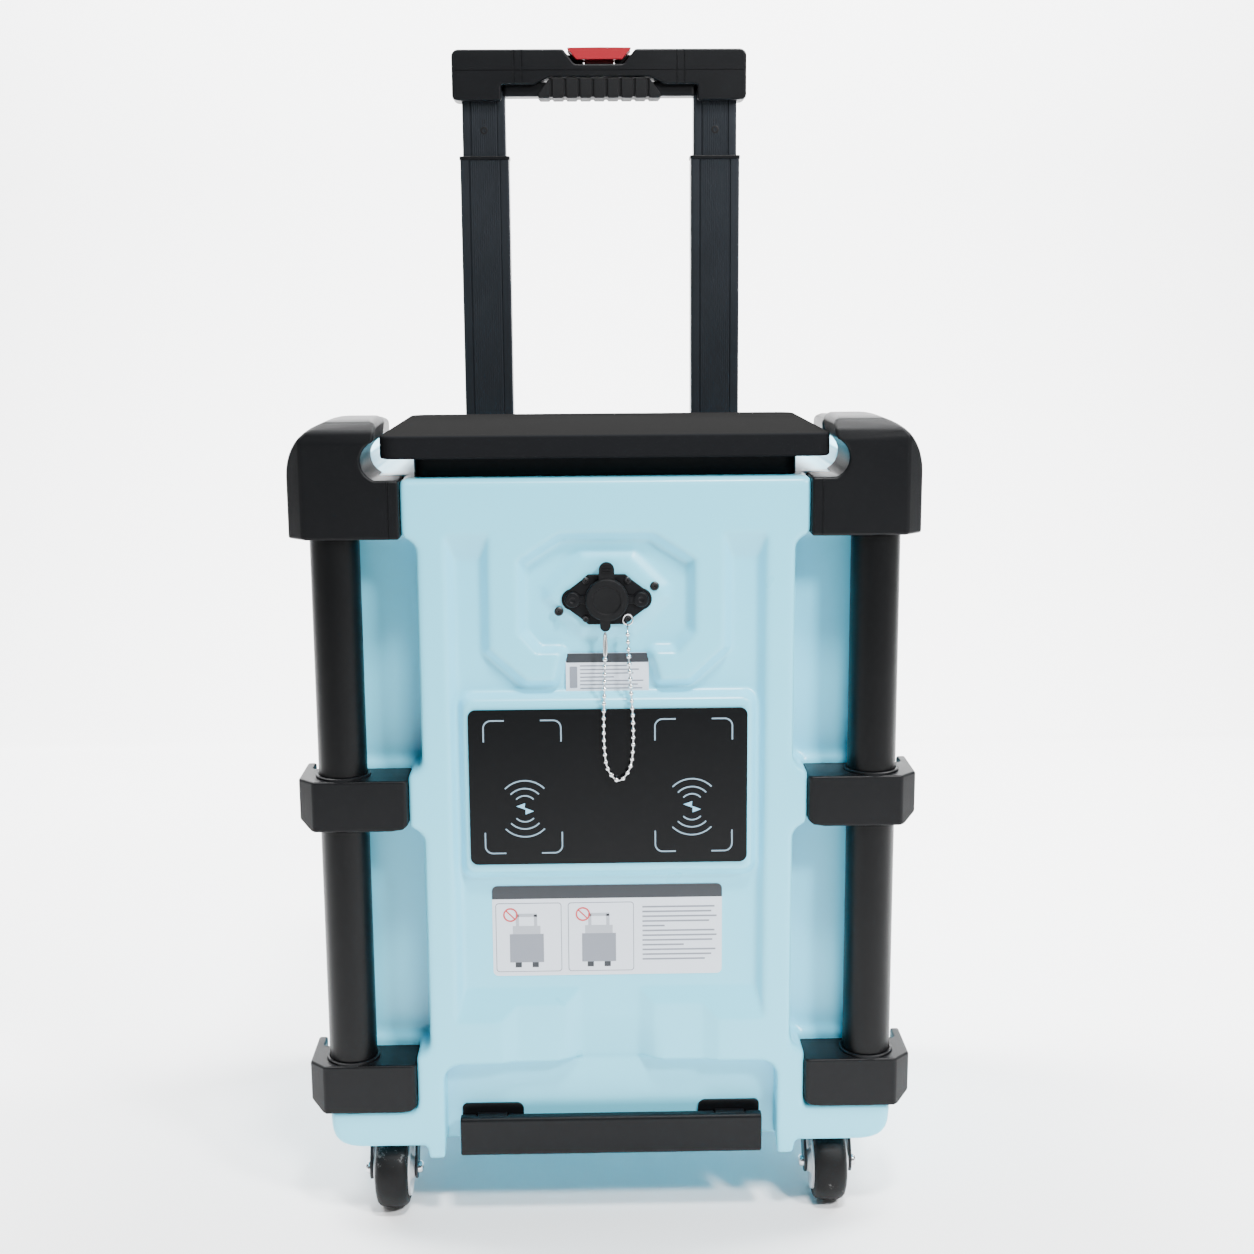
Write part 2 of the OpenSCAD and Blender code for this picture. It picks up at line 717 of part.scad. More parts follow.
at_corner(-1, -1) clamp(foot_clamp_z);  // foot_clamp_service_left
at_corner(1, -1) clamp(foot_clamp_z);  // foot_clamp_service_right
at_corner(-1, 1) clamp(foot_clamp_z);  // foot_clamp_trolley_left
at_corner(1, 1) clamp(foot_clamp_z);  // foot_clamp_trolley_right
mirror([1, 0, 0]) grille();  // grille_left
grille();  // grille_right
mirror([1, 0, 0]) woofer();  // woofer_left
woofer();  // woofer_right
mirror([1, 0, 0]) woofer_cone();  // woofer_cone_left
woofer_cone();  // woofer_cone_right
mirror([1, 0, 0]) tweeter();  // tweeter_left
tweeter();  // tweeter_right
amplifier_board();
battery_pack();
charging_panel();
charging_coils();
inlet_flange();
inlet_screws();
inlet_cap();
cap_chain();
trolley_sleeves();
middle_tubes();
inner_tubes();
grip_shell();
grip_pad();
release_button();
lift_bar();
lift_bar_brackets();
caster_plates();
at_caster(-1, -1) caster_fork();  // fork_service_left
at_caster(1, -1) caster_fork();  // fork_service_right
at_caster(-1, 1) caster_fork();  // fork_trolley_left
at_caster(1, 1) caster_fork();  // fork_trolley_right
at_caster(-1, -1) caster_wheel();  // wheel_service_left
at_caster(1, -1) caster_wheel();  // wheel_service_right
at_caster(-1, 1) caster_wheel();  // wheel_trolley_left
at_caster(1, 1) caster_wheel();  // wheel_trolley_right
control_panel();
display_window();
knob(volume_at, 19);  // volume_knob
knob(tone_at, 12);  // tone_knob
push_button(button_x[2]);  // power_button
push_button(button_x[1]);  // play_button
push_button(button_x[0]);  // pair_button
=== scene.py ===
import math

import bmesh
import bpy
import numpy as np
from bpy.props import FloatProperty, FloatVectorProperty, IntProperty, PointerProperty
from mathutils import Matrix, Vector


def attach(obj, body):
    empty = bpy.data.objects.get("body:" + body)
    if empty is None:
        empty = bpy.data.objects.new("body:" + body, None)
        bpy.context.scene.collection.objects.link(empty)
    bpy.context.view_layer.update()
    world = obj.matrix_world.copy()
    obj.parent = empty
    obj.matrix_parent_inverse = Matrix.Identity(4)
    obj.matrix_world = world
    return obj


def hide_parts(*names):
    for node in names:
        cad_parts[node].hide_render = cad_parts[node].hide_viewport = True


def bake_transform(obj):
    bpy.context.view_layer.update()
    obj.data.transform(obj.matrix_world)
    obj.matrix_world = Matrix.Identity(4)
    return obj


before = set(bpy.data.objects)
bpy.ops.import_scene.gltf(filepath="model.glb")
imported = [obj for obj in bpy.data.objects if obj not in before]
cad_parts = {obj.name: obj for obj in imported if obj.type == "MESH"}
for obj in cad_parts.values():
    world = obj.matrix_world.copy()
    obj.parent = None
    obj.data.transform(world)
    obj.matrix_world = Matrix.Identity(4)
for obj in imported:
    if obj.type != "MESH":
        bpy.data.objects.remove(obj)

bl_info = {
    "name": "Party Speaker",
    "version": (1, 0, 0),
    "blender": (4, 5, 0),
    "location": "3D Viewport > Sidebar > Speaker",
    "description": "Builds the visible surfaces of a wheeled party speaker over its CAD solids",
    "category": "Object",
}

# Outlines are drawn in millimetres, and meshes are made in metres.
MM = 0.001
CORNERS = {
    "service_left": (-1, -1),
    "service_right": (1, -1),
    "trolley_left": (-1, 1),
    "trolley_right": (1, 1),
}


def length_prop(name, description, default):
    """A size in metres."""
    return FloatProperty(name=name, description=description, default=default, unit="LENGTH", precision=4)


def colour_prop(name, description, default):
    """A linear colour."""
    return FloatVectorProperty(
        name=name, description=description, default=default, subtype="COLOR", size=3, min=0.0, max=1.0
    )


class CabinetSettings(bpy.types.PropertyGroup):
    cell: length_prop("Cell", "Size of the cells the moulded surface is made with", 0.0025)
    relief: length_prop("Relief", "Depth of the sunken areas of the service face", 0.012)
    slope: length_prop("Slope", "Width of the slope down to a sunken area", 0.0095)
    edge: length_prop("Edge", "Softness of the moulding's outer edges", 0.009)
    colour: colour_prop("Colour", "Moulded cabinet", (0.17, 0.70, 0.92))


class CageSettings(bpy.types.PropertyGroup):
    tube_diameter: length_prop("Tube diameter", "Outer diameter of the cage tubes", 0.045)
    edge: length_prop("Edge", "Rounding of the edges of caps and clamps", 0.0022)
    plastic: colour_prop("Plastic", "Caps, clamps and grip", (0.0040, 0.0044, 0.0052))
    tube: colour_prop("Tube", "Powder-coated cage tubes", (0.0024, 0.0027, 0.0031))
    # Painted shade: the tray's top gets its own colour, a little darker than its front, set against the strong light
    # from above.
    tray: colour_prop("Tray", "Top of the tray", (0.009, 0.009, 0.009))


class TrolleySettings(bpy.types.PropertyGroup):
    rib_pitch: length_prop("Rib pitch", "Distance between the fine ribs of a tube face", 0.0022)
    rib_depth: length_prop("Rib depth", "Depth of the fine ribs of a tube face", 0.0004)
    pad_pitch: length_prop("Pad pitch", "Distance between the ribs of the rubber pad", 0.0143)
    tube: colour_prop("Tube", "Anodised trolley tubes", (0.03, 0.035, 0.042))
    button: colour_prop("Button", "Release button", (0.26, 0.004, 0.012))


class PanelSettings(bpy.types.PropertyGroup):
    line: length_prop("Line", "Width of the printed lines", 0.0013)
    bead: length_prop("Bead", "Diameter of a bead of the chain", 0.0046)
    bead_pitch: length_prop("Bead pitch", "Distance between two beads", 0.0068)
    panel: colour_prop("Panel", "Charging panel", (0.0015, 0.002, 0.0026))
    print_colour: colour_prop("Print", "Printed lines", (0.2, 0.3, 0.38))
    bolt: colour_prop("Bolt", "Charge symbols", (0.22, 0.52, 0.72))
    label: colour_prop("Label", "Label plates", (0.66, 0.72, 0.8))


class RunningGearSettings(bpy.types.PropertyGroup):
    axle_nut: length_prop("Axle nut", "Radius of the domed axle nuts", 0.0058)
    rim: colour_prop("Rim", "Caster rims", (0.6, 0.61, 0.63))
    tyre: colour_prop("Tyre", "Caster tyres", (0.006, 0.0062, 0.0066))


class DriverSettings(bpy.types.PropertyGroup):
    hole_pitch: length_prop("Hole pitch", "Distance between the holes of a side grille", 0.0085)
    web: length_prop("Web", "Metal left between two holes of a side grille", 0.0024)
    knob_ribs: IntProperty(name="Knob ribs", description="Grip ribs round the volume knob", default=36)
    display: colour_prop("Display", "Lit part of the display", (0.05, 0.22, 0.3))


class StageSettings(bpy.types.PropertyGroup):
    camera: FloatVectorProperty(
        name="Camera",
        description="Place of the camera",
        default=(-0.0145, -1.74, 0.867),
        subtype="TRANSLATION",
        unit="LENGTH",
    )
    pitch: FloatProperty(
        name="Pitch", description="How far the camera looks down", default=math.radians(10.56), subtype="ANGLE"
    )
    yaw: FloatProperty(
        name="Yaw", description="How far the camera looks to the right", default=math.radians(1.21), subtype="ANGLE"
    )
    roll: FloatProperty(name="Roll", description="Roll of the camera", default=math.radians(0.38), subtype="ANGLE")
    lens: FloatProperty(name="Lens", description="Focal length in millimetres", default=49.81)
    key: FloatProperty(name="Key", description="Power of the key light in watts", default=130.0)
    fill: FloatProperty(name="Fill", description="Power of the fill light in watts", default=4.0)
    wall: FloatProperty(name="Wall", description="Power of a backdrop light in watts", default=420.0)
    world: FloatProperty(name="World", description="Strength of the white surroundings", default=0.12)


GROUPS = {
    "speaker_cabinet": CabinetSettings,
    "speaker_cage": CageSettings,
    "speaker_trolley": TrolleySettings,
    "speaker_panel": PanelSettings,
    "speaker_gear": RunningGearSettings,
    "speaker_drivers": DriverSettings,
    "speaker_stage": StageSettings,
}


def settings(group):
    return getattr(bpy.context.scene, "speaker_" + group)


# ---------- outlines ----------


def arc(centre, radius, start, stop, steps):
    """Points on an arc, its angles in degrees."""
    angles = np.radians(np.linspace(start, stop, steps))
    return [(centre[0] + radius * math.cos(a), centre[1] + radius * math.sin(a)) for a in angles]


def round_rect(centre, width, height, radius, steps=7):
    """A rectangle with round corners."""
    out = []
    for sx, sy, start in ((1, 1, 0), (-1, 1, 90), (-1, -1, 180), (1, -1, 270)):
        corner = (centre[0] + sx * (width / 2 - radius), centre[1] + sy * (height / 2 - radius))
        out += arc(corner, radius, start, start + 90, steps)
    return out


def mirrored(points):
    """A half outline on the +X side, closed with its mirror image."""
    return list(points) + [(-x, z) for x, z in reversed(points) if x > 1e-6]


def place(axis, a, b, h):
    """A point from two coordinates across an axis and one along it."""
    return {"x": (h, a, b), "y": (a, h, b), "z": (a, b, h)}[axis]


class Shape:
    """Vertices in millimetres and faces, gathered from several solids. A tone is the number of a face's material."""

    def __init__(self):
        self.verts, self.faces, self.tones = [], [], []

    def add(self, verts, faces, tone=0):
        base = len(self.verts)
        self.verts += [tuple(v) for v in verts]
        self.faces += [[i + base for i in f] for f in faces]
        self.tones += [tone] * len(faces)
        return self

    def join(self, other, tone=None):
        base = len(self.verts)
        self.verts += other.verts
        self.faces += [[i + base for i in f] for f in other.faces]
        self.tones += other.tones if tone is None else [tone] * len(other.faces)
        return self

    def prism(self, outline, axis, low, high, tone=0):
        n = len(outline)
        verts = [place(axis, a, b, h) for h in (low, high) for a, b in outline]
        sides = [[i, (i + 1) % n, n + (i + 1) % n, n + i] for i in range(n)]
        return self.add(verts, sides + [list(range(n)), list(range(2 * n - 1, n - 1, -1))], tone)

    def box(self, low, high, tone=0):
        (x0, y0, z0), (x1, y1, z1) = low, high
        return self.prism([(x0, y0), (x1, y0), (x1, y1), (x0, y1)], "z", z0, z1, tone)

    def lathe(self, profile, axis, centre, steps=48, tone=0):
        """Turns a closed profile of (radius, height) points about an axis through centre."""
        verts, rings, faces = [], [], []
        origin = Vector(centre)
        for r, h in profile:
            turns = 1 if r < 1e-6 else steps
            ring = []
            for k in range(turns):
                a = 2 * math.pi * k / steps
                verts.append(origin + Vector(place(axis, r * math.cos(a), r * math.sin(a), h)))
                ring.append(len(verts) - 1)
            rings.append(ring)
        for p, q in zip(rings, rings[1:] + rings[:1]):
            if len(p) == 1 and len(q) == 1:
                continue
            for i in range(steps):
                j = (i + 1) % steps
                face = [p[i % len(p)], p[j % len(p)], q[j % len(q)], q[i % len(q)]]
                faces.append(list(dict.fromkeys(face)))
        return self.add(verts, faces, tone)

    def sweep(self, points, radius, sides=10, closed=False, tone=0, flat=1.0):
        """A round wire along points; flat squeezes it across the Y direction."""
        path = [Vector(p) for p in points]
        n = len(path)
        verts, faces = [], []
        for i, p in enumerate(path):
            a = path[(i - 1) % n] if closed else path[max(i - 1, 0)]
            b = path[(i + 1) % n] if closed else path[min(i + 1, n - 1)]
            t = (b - a).normalized()
            ref = Vector((0, 1, 0)) if abs(t.y) < 0.9 else Vector((1, 0, 0))
            side = t.cross(ref).normalized()
            up = side.cross(t)
            for k in range(sides):
                w = 2 * math.pi * k / sides
                verts.append(p + side * (radius * math.cos(w)) + up * (radius * flat * math.sin(w)))
        for i in range(n if closed else n - 1):
            for k in range(sides):
                m = (k + 1) % sides
                j = (i + 1) % n
                faces.append([i * sides + k, j * sides + k, j * sides + m, i * sides + m])
        if not closed:
            faces.append(list(range(sides)))
            faces.append([(n - 1) * sides + k for k in reversed(range(sides))])
        return self.add(verts, faces, tone)

    def ball(self, centre, radius, tone=0, steps=10, rings=6, squash=1.0):
        profile = [(radius * math.sin(math.pi * k / rings), -radius * squash * math.cos(math.pi * k / rings))
                   for k in range(rings + 1)]
        profile[0], profile[-1] = (0, profile[0][1]), (0, profile[-1][1])
        return self.lathe(profile, "z", centre, steps, tone)

    def at(self, sx=1, sy=1, offset=(0, 0, 0)):
        """A copy, mirrored by signs and moved."""
        copy = Shape()
        ox, oy, oz = offset
        copy.verts = [(x * sx + ox, y * sy + oy, z + oz) for x, y, z in self.verts]
        copy.faces, copy.tones = [list(f) for f in self.faces], list(self.tones)
        return copy


# ---------- materials ----------


def node(tree, kind, **values):
    n = tree.nodes.new(kind)
    for key, value in values.items():
        if hasattr(n, key):
            setattr(n, key, value)
        else:
            n.inputs[key.replace("_", " ")].default_value = value
    return n


def surface(name, colour, roughness, metallic=0.0, grain=600.0, bump=0.15, mottle=0.05, wear=None, top=None,
            specular=0.5):
    """A procedural finish: mottled colour and roughness, and a fine bump. wear adds pale scuffs of that colour, and
    top gives the faces that look up a colour of their own: painted shade, toned against the light that falls on them
    from above."""
    mat = bpy.data.materials.get(name + "_finish")
    if mat:
        return mat
    mat = bpy.data.materials.new(name + "_finish")
    mat.use_nodes = True
    tree = mat.node_tree
    link = tree.links.new
    shader = tree.nodes["Principled BSDF"]
    shader.inputs["Metallic"].default_value = metallic
    shader.inputs["Specular IOR Level"].default_value = specular
    coords = node(tree, "ShaderNodeTexCoord")
    broad = node(tree, "ShaderNodeTexNoise", Scale=14.0, Detail=3.0)
    fine = node(tree, "ShaderNodeTexNoise", Scale=grain, Detail=2.0)
    link(coords.outputs["Object"], broad.inputs["Vector"])
    link(coords.outputs["Object"], fine.inputs["Vector"])
    tint = node(tree, "ShaderNodeMix", data_type="RGBA")
    tint.inputs["A"].default_value = (*[c * (1 - mottle) for c in colour], 1)
    tint.inputs["B"].default_value = (*[min(1.0, c * (1 + mottle)) for c in colour], 1)
    link(broad.outputs["Fac"], tint.inputs["Factor"])
    last = tint.outputs["Result"]
    # Painted shade: faces that look up take the top colour in place of the mottled one, to offset the light they
    # catch from above.
    if top:
        geometry = node(tree, "ShaderNodeNewGeometry")
        split = node(tree, "ShaderNodeSeparateXYZ")
        rise = node(tree, "ShaderNodeMapRange", From_Min=0.8, From_Max=0.97)
        painted_top_shade = node(tree, "ShaderNodeMix", data_type="RGBA")
        painted_top_shade.inputs["B"].default_value = (*top, 1)
        link(geometry.outputs["Normal"], split.inputs["Vector"])
        link(split.outputs["Z"], rise.inputs["Value"])
        link(rise.outputs["Result"], painted_top_shade.inputs["Factor"])
        link(last, painted_top_shade.inputs["A"])
        last = painted_top_shade.outputs["Result"]
    if wear:
        scuff = node(tree, "ShaderNodeTexNoise", Scale=260.0, Detail=6.0, Roughness=0.75)
        patch = node(tree, "ShaderNodeTexNoise", Scale=30.0, Detail=2.0)
        spread = node(tree, "ShaderNodeMath", operation="MULTIPLY")
        limit = node(tree, "ShaderNodeMapRange", From_Min=0.335, From_Max=0.37)
        worn = node(tree, "ShaderNodeMix", data_type="RGBA")
        worn.inputs["B"].default_value = (*wear, 1)
        link(coords.outputs["Object"], scuff.inputs["Vector"])
        link(coords.outputs["Object"], patch.inputs["Vector"])
        link(scuff.outputs["Fac"], spread.inputs[0])
        link(patch.outputs["Fac"], spread.inputs[1])
        link(spread.outputs["Value"], limit.inputs["Value"])
        link(limit.outputs["Result"], worn.inputs["Factor"])
        link(last, worn.inputs["A"])
        last = worn.outputs["Result"]
    link(last, shader.inputs["Base Color"])
    sheen = node(tree, "ShaderNodeMapRange", To_Min=max(0.02, roughness - 0.06), To_Max=min(1.0, roughness + 0.06))
    link(broad.outputs["Fac"], sheen.inputs["Value"])
    link(sheen.outputs["Result"], shader.inputs["Roughness"])
    relief = node(tree, "ShaderNodeBump", Strength=bump, Distance=0.0003)
    link(fine.outputs["Fac"], relief.inputs["Height"])
    link(relief.outputs["Normal"], shader.inputs["Normal"])
    return mat


def finish(name):
    """The finish of a material slot of the record, or of a printed or plated detail."""
    cage, trolley, panel, gear = settings("cage"), settings("trolley"), settings("panel"), settings("gear")
    plastic = tuple(cage.plastic)
    table = {
        "cabinet": dict(colour=tuple(settings("cabinet").colour), roughness=0.3, grain=420.0, bump=0.1, mottle=0.012),
        # Lit and shaded copies of one black: the front keeps the base colour, and the up-facing top takes the
        # painted-shade colour of cage.tray.
        "tray": dict(colour=(0.009, 0.0095, 0.0105), roughness=0.7, specular=0.0, top=tuple(cage.tray),
                     grain=900.0, bump=0.5),
        "black_plastic": dict(colour=plastic, roughness=0.42, specular=0.15, grain=1100.0, bump=0.35),
        "cage_tube": dict(colour=tuple(cage.tube), roughness=0.36, specular=0.15, grain=1500.0, bump=0.3),
        "grille": dict(colour=(0.012, 0.012, 0.013), roughness=0.5, metallic=0.3, grain=1500.0, bump=0.3),
        "driver_frame": dict(colour=(0.02, 0.02, 0.022), roughness=0.45, metallic=0.5),
        "cone": dict(colour=(0.025, 0.025, 0.027), roughness=0.65, grain=700.0, bump=0.6),
        "circuit_board": dict(colour=(0.01, 0.12, 0.05), roughness=0.4),
        "battery": dict(colour=(0.02, 0.07, 0.3), roughness=0.45),
        "charging_panel": dict(colour=tuple(panel.panel), roughness=0.2, specular=0.15, grain=1800.0, bump=0.05),
        "copper": dict(colour=(0.6, 0.25, 0.1), roughness=0.3, metallic=1.0),
        "black_screw": dict(colour=(0.012, 0.012, 0.013), roughness=0.35, metallic=0.4),
        "rubber": dict(colour=(0.0045, 0.0048, 0.0054), roughness=0.6, specular=0.15, grain=900.0, bump=0.4),
        "chain": dict(colour=(0.8, 0.81, 0.82), roughness=0.22, metallic=1.0, bump=0.05),
        "trolley_tube": dict(colour=tuple(trolley.tube), roughness=0.38, metallic=0.75, grain=1500.0, bump=0.1),
        "release_red": dict(colour=tuple(trolley.button), roughness=0.38, bump=0.1),
        "plated_steel": dict(colour=(0.7, 0.71, 0.73), roughness=0.22, metallic=1.0, bump=0.1),
        "fork_steel": dict(colour=(0.018, 0.018, 0.02), roughness=0.42, metallic=0.3),
        "tyre": dict(colour=tuple(gear.tyre), roughness=0.55, wear=(0.07, 0.07, 0.07), specular=0.15,
                     grain=500.0, bump=0.5),
        "rim": dict(colour=tuple(gear.rim), roughness=0.35, grain=500.0, bump=0.1),
        "display": dict(colour=(0.006, 0.008, 0.011), roughness=0.15, bump=0.02),
        "knob": dict(colour=(0.02, 0.021, 0.023), roughness=0.4, grain=1200.0, bump=0.2),
        "button": dict(colour=(0.05, 0.052, 0.056), roughness=0.45, bump=0.2),
        "print": dict(colour=tuple(panel.print_colour), roughness=0.5, bump=0.05),
        "bolt": dict(colour=tuple(panel.bolt), roughness=0.4, bump=0.05),
        "label": dict(colour=tuple(panel.label), roughness=0.45, bump=0.05, mottle=0.02),
        "label_ink": dict(colour=(0.02, 0.024, 0.03), roughness=0.5, bump=0.05),
        "label_grey": dict(colour=(0.2, 0.22, 0.26), roughness=0.5, bump=0.05),
        "label_tint": dict(colour=(0.36, 0.39, 0.44), roughness=0.5, bump=0.05),
        "label_red": dict(colour=(0.55, 0.03, 0.04), roughness=0.5, bump=0.05),
        "lit": dict(colour=tuple(settings("drivers").display), roughness=0.3, bump=0.02),
    }
    return surface(name, **table[name])


# ---------- pieces ----------


def raw_object(name, shape):
    mesh = bpy.data.meshes.new(name)
    mesh.from_pydata([(x * MM, y * MM, z * MM) for x, y, z in shape.verts], [], shape.faces)
    mesh.polygons.foreach_set("material_index", shape.tones)
    bm = bmesh.new()
    bm.from_mesh(mesh)
    bmesh.ops.recalc_face_normals(bm, faces=bm.faces)
    bm.to_mesh(mesh)
    bm.free()
    obj = bpy.data.objects.new(name, mesh)
    bpy.context.scene.collection.objects.link(obj)
    return obj


def bake(obj):
    """Puts an object's modifiers into its mesh."""
    bpy.context.view_layer.update()
    graph = bpy.context.evaluated_depsgraph_get()
    mesh = bpy.data.meshes.new_from_object(obj.evaluated_get(graph))
    obj.modifiers.clear()
    old, obj.data = obj.data, mesh
    bpy.data.meshes.remove(old)
    mesh.name = obj.name


def tidy(obj, flat, sharp=32.0):
    """Joins doubled vertices, dissolves edges flatter than flat degrees and marks edges past sharp degrees."""
    bm = bmesh.new()
    bm.from_mesh(obj.data)
    bmesh.ops.remove_doubles(bm, verts=bm.verts, dist=1e-6)
    bmesh.ops.dissolve_degenerate(bm, edges=bm.edges, dist=1e-6)
    if flat:
        bmesh.ops.dissolve_limit(bm, angle_limit=math.radians(flat), verts=bm.verts, edges=bm.edges)
    for face in bm.faces:
        face.smooth = True
    for edge in bm.edges:
        edge.smooth = len(edge.link_faces) == 2 and edge.calc_face_angle(0) < math.radians(sharp)
    bm.to_mesh(obj.data)
    bm.free()


def carve(obj, tools, operation):
    """Keeps or cuts an object with shapes, one at a time."""
    for tool in tools:
        cutter = raw_object(obj.name + "_tool", tool)
        mod = obj.modifiers.new(operation, "BOOLEAN")
        mod.object, mod.operation, mod.solver = cutter, operation, "EXACT"
        bake(obj)
        mesh = cutter.data
        bpy.data.objects.remove(cutter)
        bpy.data.meshes.remove(mesh)


def piece(name, shape, finishes, body="cabinet", bevel=0.0, segments=3, keep=(), cuts=(), scores=(), parts=(),
          sharp=32.0):
    """One visible piece: a shape in millimetres, kept where it overlaps the shapes of keep, cut by those of
    cuts, rounded by bevel millimetres and scored by the fine shapes of scores. It rides on a body and stands in
    for the CAD nodes of parts."""
    obj = raw_object(name, shape)
    for f in finishes:
        obj.data.materials.append(finish(f))
    carve(obj, keep, "INTERSECT")
    carve(obj, cuts, "DIFFERENCE")
    if keep or cuts:
        tidy(obj, 0.5)
    if bevel:
        mod = obj.modifiers.new("Bevel", "BEVEL")
        mod.width, mod.segments, mod.limit_method = bevel * MM, segments, "ANGLE"
        mod.angle_limit, mod.use_clamp_overlap, mod.harden_normals = math.radians(30), False, False
        mod.miter_outer = "MITER_ARC"
        bake(obj)
    carve(obj, scores, "DIFFERENCE")
    tidy(obj, 0.0, sharp)
    mod = obj.modifiers.new("Normals", "WEIGHTED_NORMAL")
    mod.keep_sharp = True
    bake(obj)
    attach(obj, body)
    if parts:
        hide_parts(*parts)
    return obj


# ---------- moulded cabinet ----------


def soft_max(a, b, k):
    h = np.clip(0.5 + 0.5 * (a - b) / k, 0, 1)
    return b + (a - b) * h + k * h * (1 - h)


def soft_min(a, b, k):
    return -soft_max(-a, -b, k)


def rect_field(a, b, half_a, half_b, radius):
    """Signed distance to a rectangle about the origin, negative inside."""
    qa, qb = np.abs(a) - half_a + radius, np.abs(b) - half_b + radius
    outside = np.sqrt(np.maximum(qa, 0) ** 2 + np.maximum(qb, 0) ** 2)
    return outside + np.minimum(np.maximum(qa, qb), 0) - radius


def outline_field(a, b, points):
    """Signed distance to a closed outline, negative inside."""
    best = np.full(np.broadcast(a, b).shape, 1e9)
    sign = np.ones_like(best)
    for i, (px, pz) in enumerate(points):
        qx, qz = points[i - 1]
        ex, ez = qx - px, qz - pz
        wx, wz = a - px, b - pz
        t = np.clip((wx * ex + wz * ez) / (ex * ex + ez * ez), 0, 1)
        best = np.minimum(best, (wx - ex * t) ** 2 + (wz - ez * t) ** 2)
        c1, c2, c3 = b >= pz, b < qz, ex * wz > ez * wx
        sign = np.where((c1 & c2 & c3) | (~c1 & ~c2 & ~c3), -sign, sign)
    return sign * np.sqrt(best)


def soft_step(t):
    """Rises from 0 to 1 with soft ends."""
    return soft_min(soft_max(t, 0.0, 0.2), 1.0, 0.2)


def service_relief(x, z, s):
    """Depth of the service face below its raised panel."""
    ax = np.abs(x)
    depth, slope = s.relief * 1000, s.slope * 1000
    arms = mirrored([(0, 720), (105.5, 720), (105.5, 560), (73, 531), (50, 531), (44, 553), (64.5, 553),
                     (81.5, 573), (81.5, 641), (41, 667), (0, 667)])
    sunken = np.maximum(rect_field(x, z - 386, 146, 280, 8), -outline_field(x, z, arms))
    h = depth * soft_step(-sunken / slope)
    fade = depth * np.clip((666 - z) / 26, 0, 1)
    h = np.where(ax > 95, np.minimum(h, fade), h)
    pad = rect_field(x, z - 430, 130.5, 80.5, 6)
    h = soft_min(h, depth * soft_step(pad / slope), 1.0)
    pedestal = mirrored([(0, 651), (26, 651), (60.5, 616.5), (60.5, 601.5), (26, 567), (0, 567)])
    h = soft_min(h, depth - (depth - 6) * soft_step(-outline_field(x, z, pedestal) / 11), 1.0)
    steps = np.interp(ax, (0, 26, 42, 88, 104), (depth, depth, depth / 2, depth / 2, 0))
    ramp = depth * np.clip((z - 199) / 32, 0, 1)
    h = np.where(z < 260, soft_min(h, soft_max(steps, ramp, 0.8), 0.8), h)
    return h + (20 - depth) * np.clip((200 - z) / 45, 0, 1) * np.clip((49 - ax) / 24, 0, 1)


def cabinet_field(x, y, z, s):
    """Signed distance to the moulded cabinet on a grid, in millimetres."""
    gx, gy, gz = x[:, None, None], y[None, :, None], z[None, None, :]
    ax, ay, k = np.abs(gx), np.abs(gy), s.edge * 1000
    wall = [(260, 714), (277, 688), (277, 300), (272.5, 180), (272, 108), (269, 86), (253, 74)]
    front = soft_max(gz - 714 + 0 * ax, 74 - gz, k)
    for (px, pz), (qx, qz) in zip(wall, wall[1:]):
        ex, ez = qx - px, qz - pz
        front = soft_max(front, ((ax - px) * -ez + (gz - pz) * ex) / math.hypot(ex, ez), k)
    d = soft_max(front, ay - 196, k)
    rail = outline_field(ax, gz, [(214, 700), (219, 733), (258, 733), (262, 700)])
    d = soft_min(d, soft_max(rail, ay - 119.7, 4), 6)
    leg = np.maximum(rect_field(ax - 166.5, gz - 80, 8.5, 17, 3), np.abs(ay - 188) - 8)
    d = soft_min(d, leg, 5)
    d = soft_max(d, -soft_max(soft_max(184 - ax, 112 - gz, 4), 150 - ay, 6), 5)
    for low, high in ((169, 390), (444, 661)):
        channel = rect_field(ax - 246, gz - (low + high) / 2, 75, (high - low) / 2, 13)
        d = soft_max(d, -soft_max(channel, 145 - ay, 9), 7)
    baffle = soft_max(rect_field(gy, gz - 422, 122.5, 190.5, 20), 268 - ax, 1)
    d = soft_max(d, -baffle, 2)
    for mid, radius in ((340, 93), (535, 32)):
        d = soft_max(d, -np.maximum(np.sqrt(gy**2 + (gz - mid) ** 2) - radius, 170 - ax), 1)
    d = soft_max(d, -np.maximum(rect_field(gx, gz - 97, 158, 60, 16), gy + 176), 5)
    d = soft_max(d, -np.maximum(rect_field(ax - 212, ay - 132, 40, 40, 8), gz - 96), 2)
    d = soft_max(d, -np.maximum(rect_field(ax - 120.4, gy - 142, 28.2, 15.2, 3), 700 - gz), 1.5)
    d = soft_max(d, -np.maximum(rect_field(gx, gz - 610, 86, 62, 8), 180 - gy), 2)
    relief = service_relief(gx, gz, s)
    tilt = np.hypot(np.gradient(relief[:, 0, :], x, axis=0), np.gradient(relief[:, 0, :], z, axis=1))
    d = soft_max(d, (relief - 196 - gy) / np.sqrt(1 + tilt[:, None, :] ** 2), 1.5)
    return soft_max(d, -np.maximum(np.sqrt(gx**2 + (gz - 604) ** 2) - 17, gy + 150), 1)


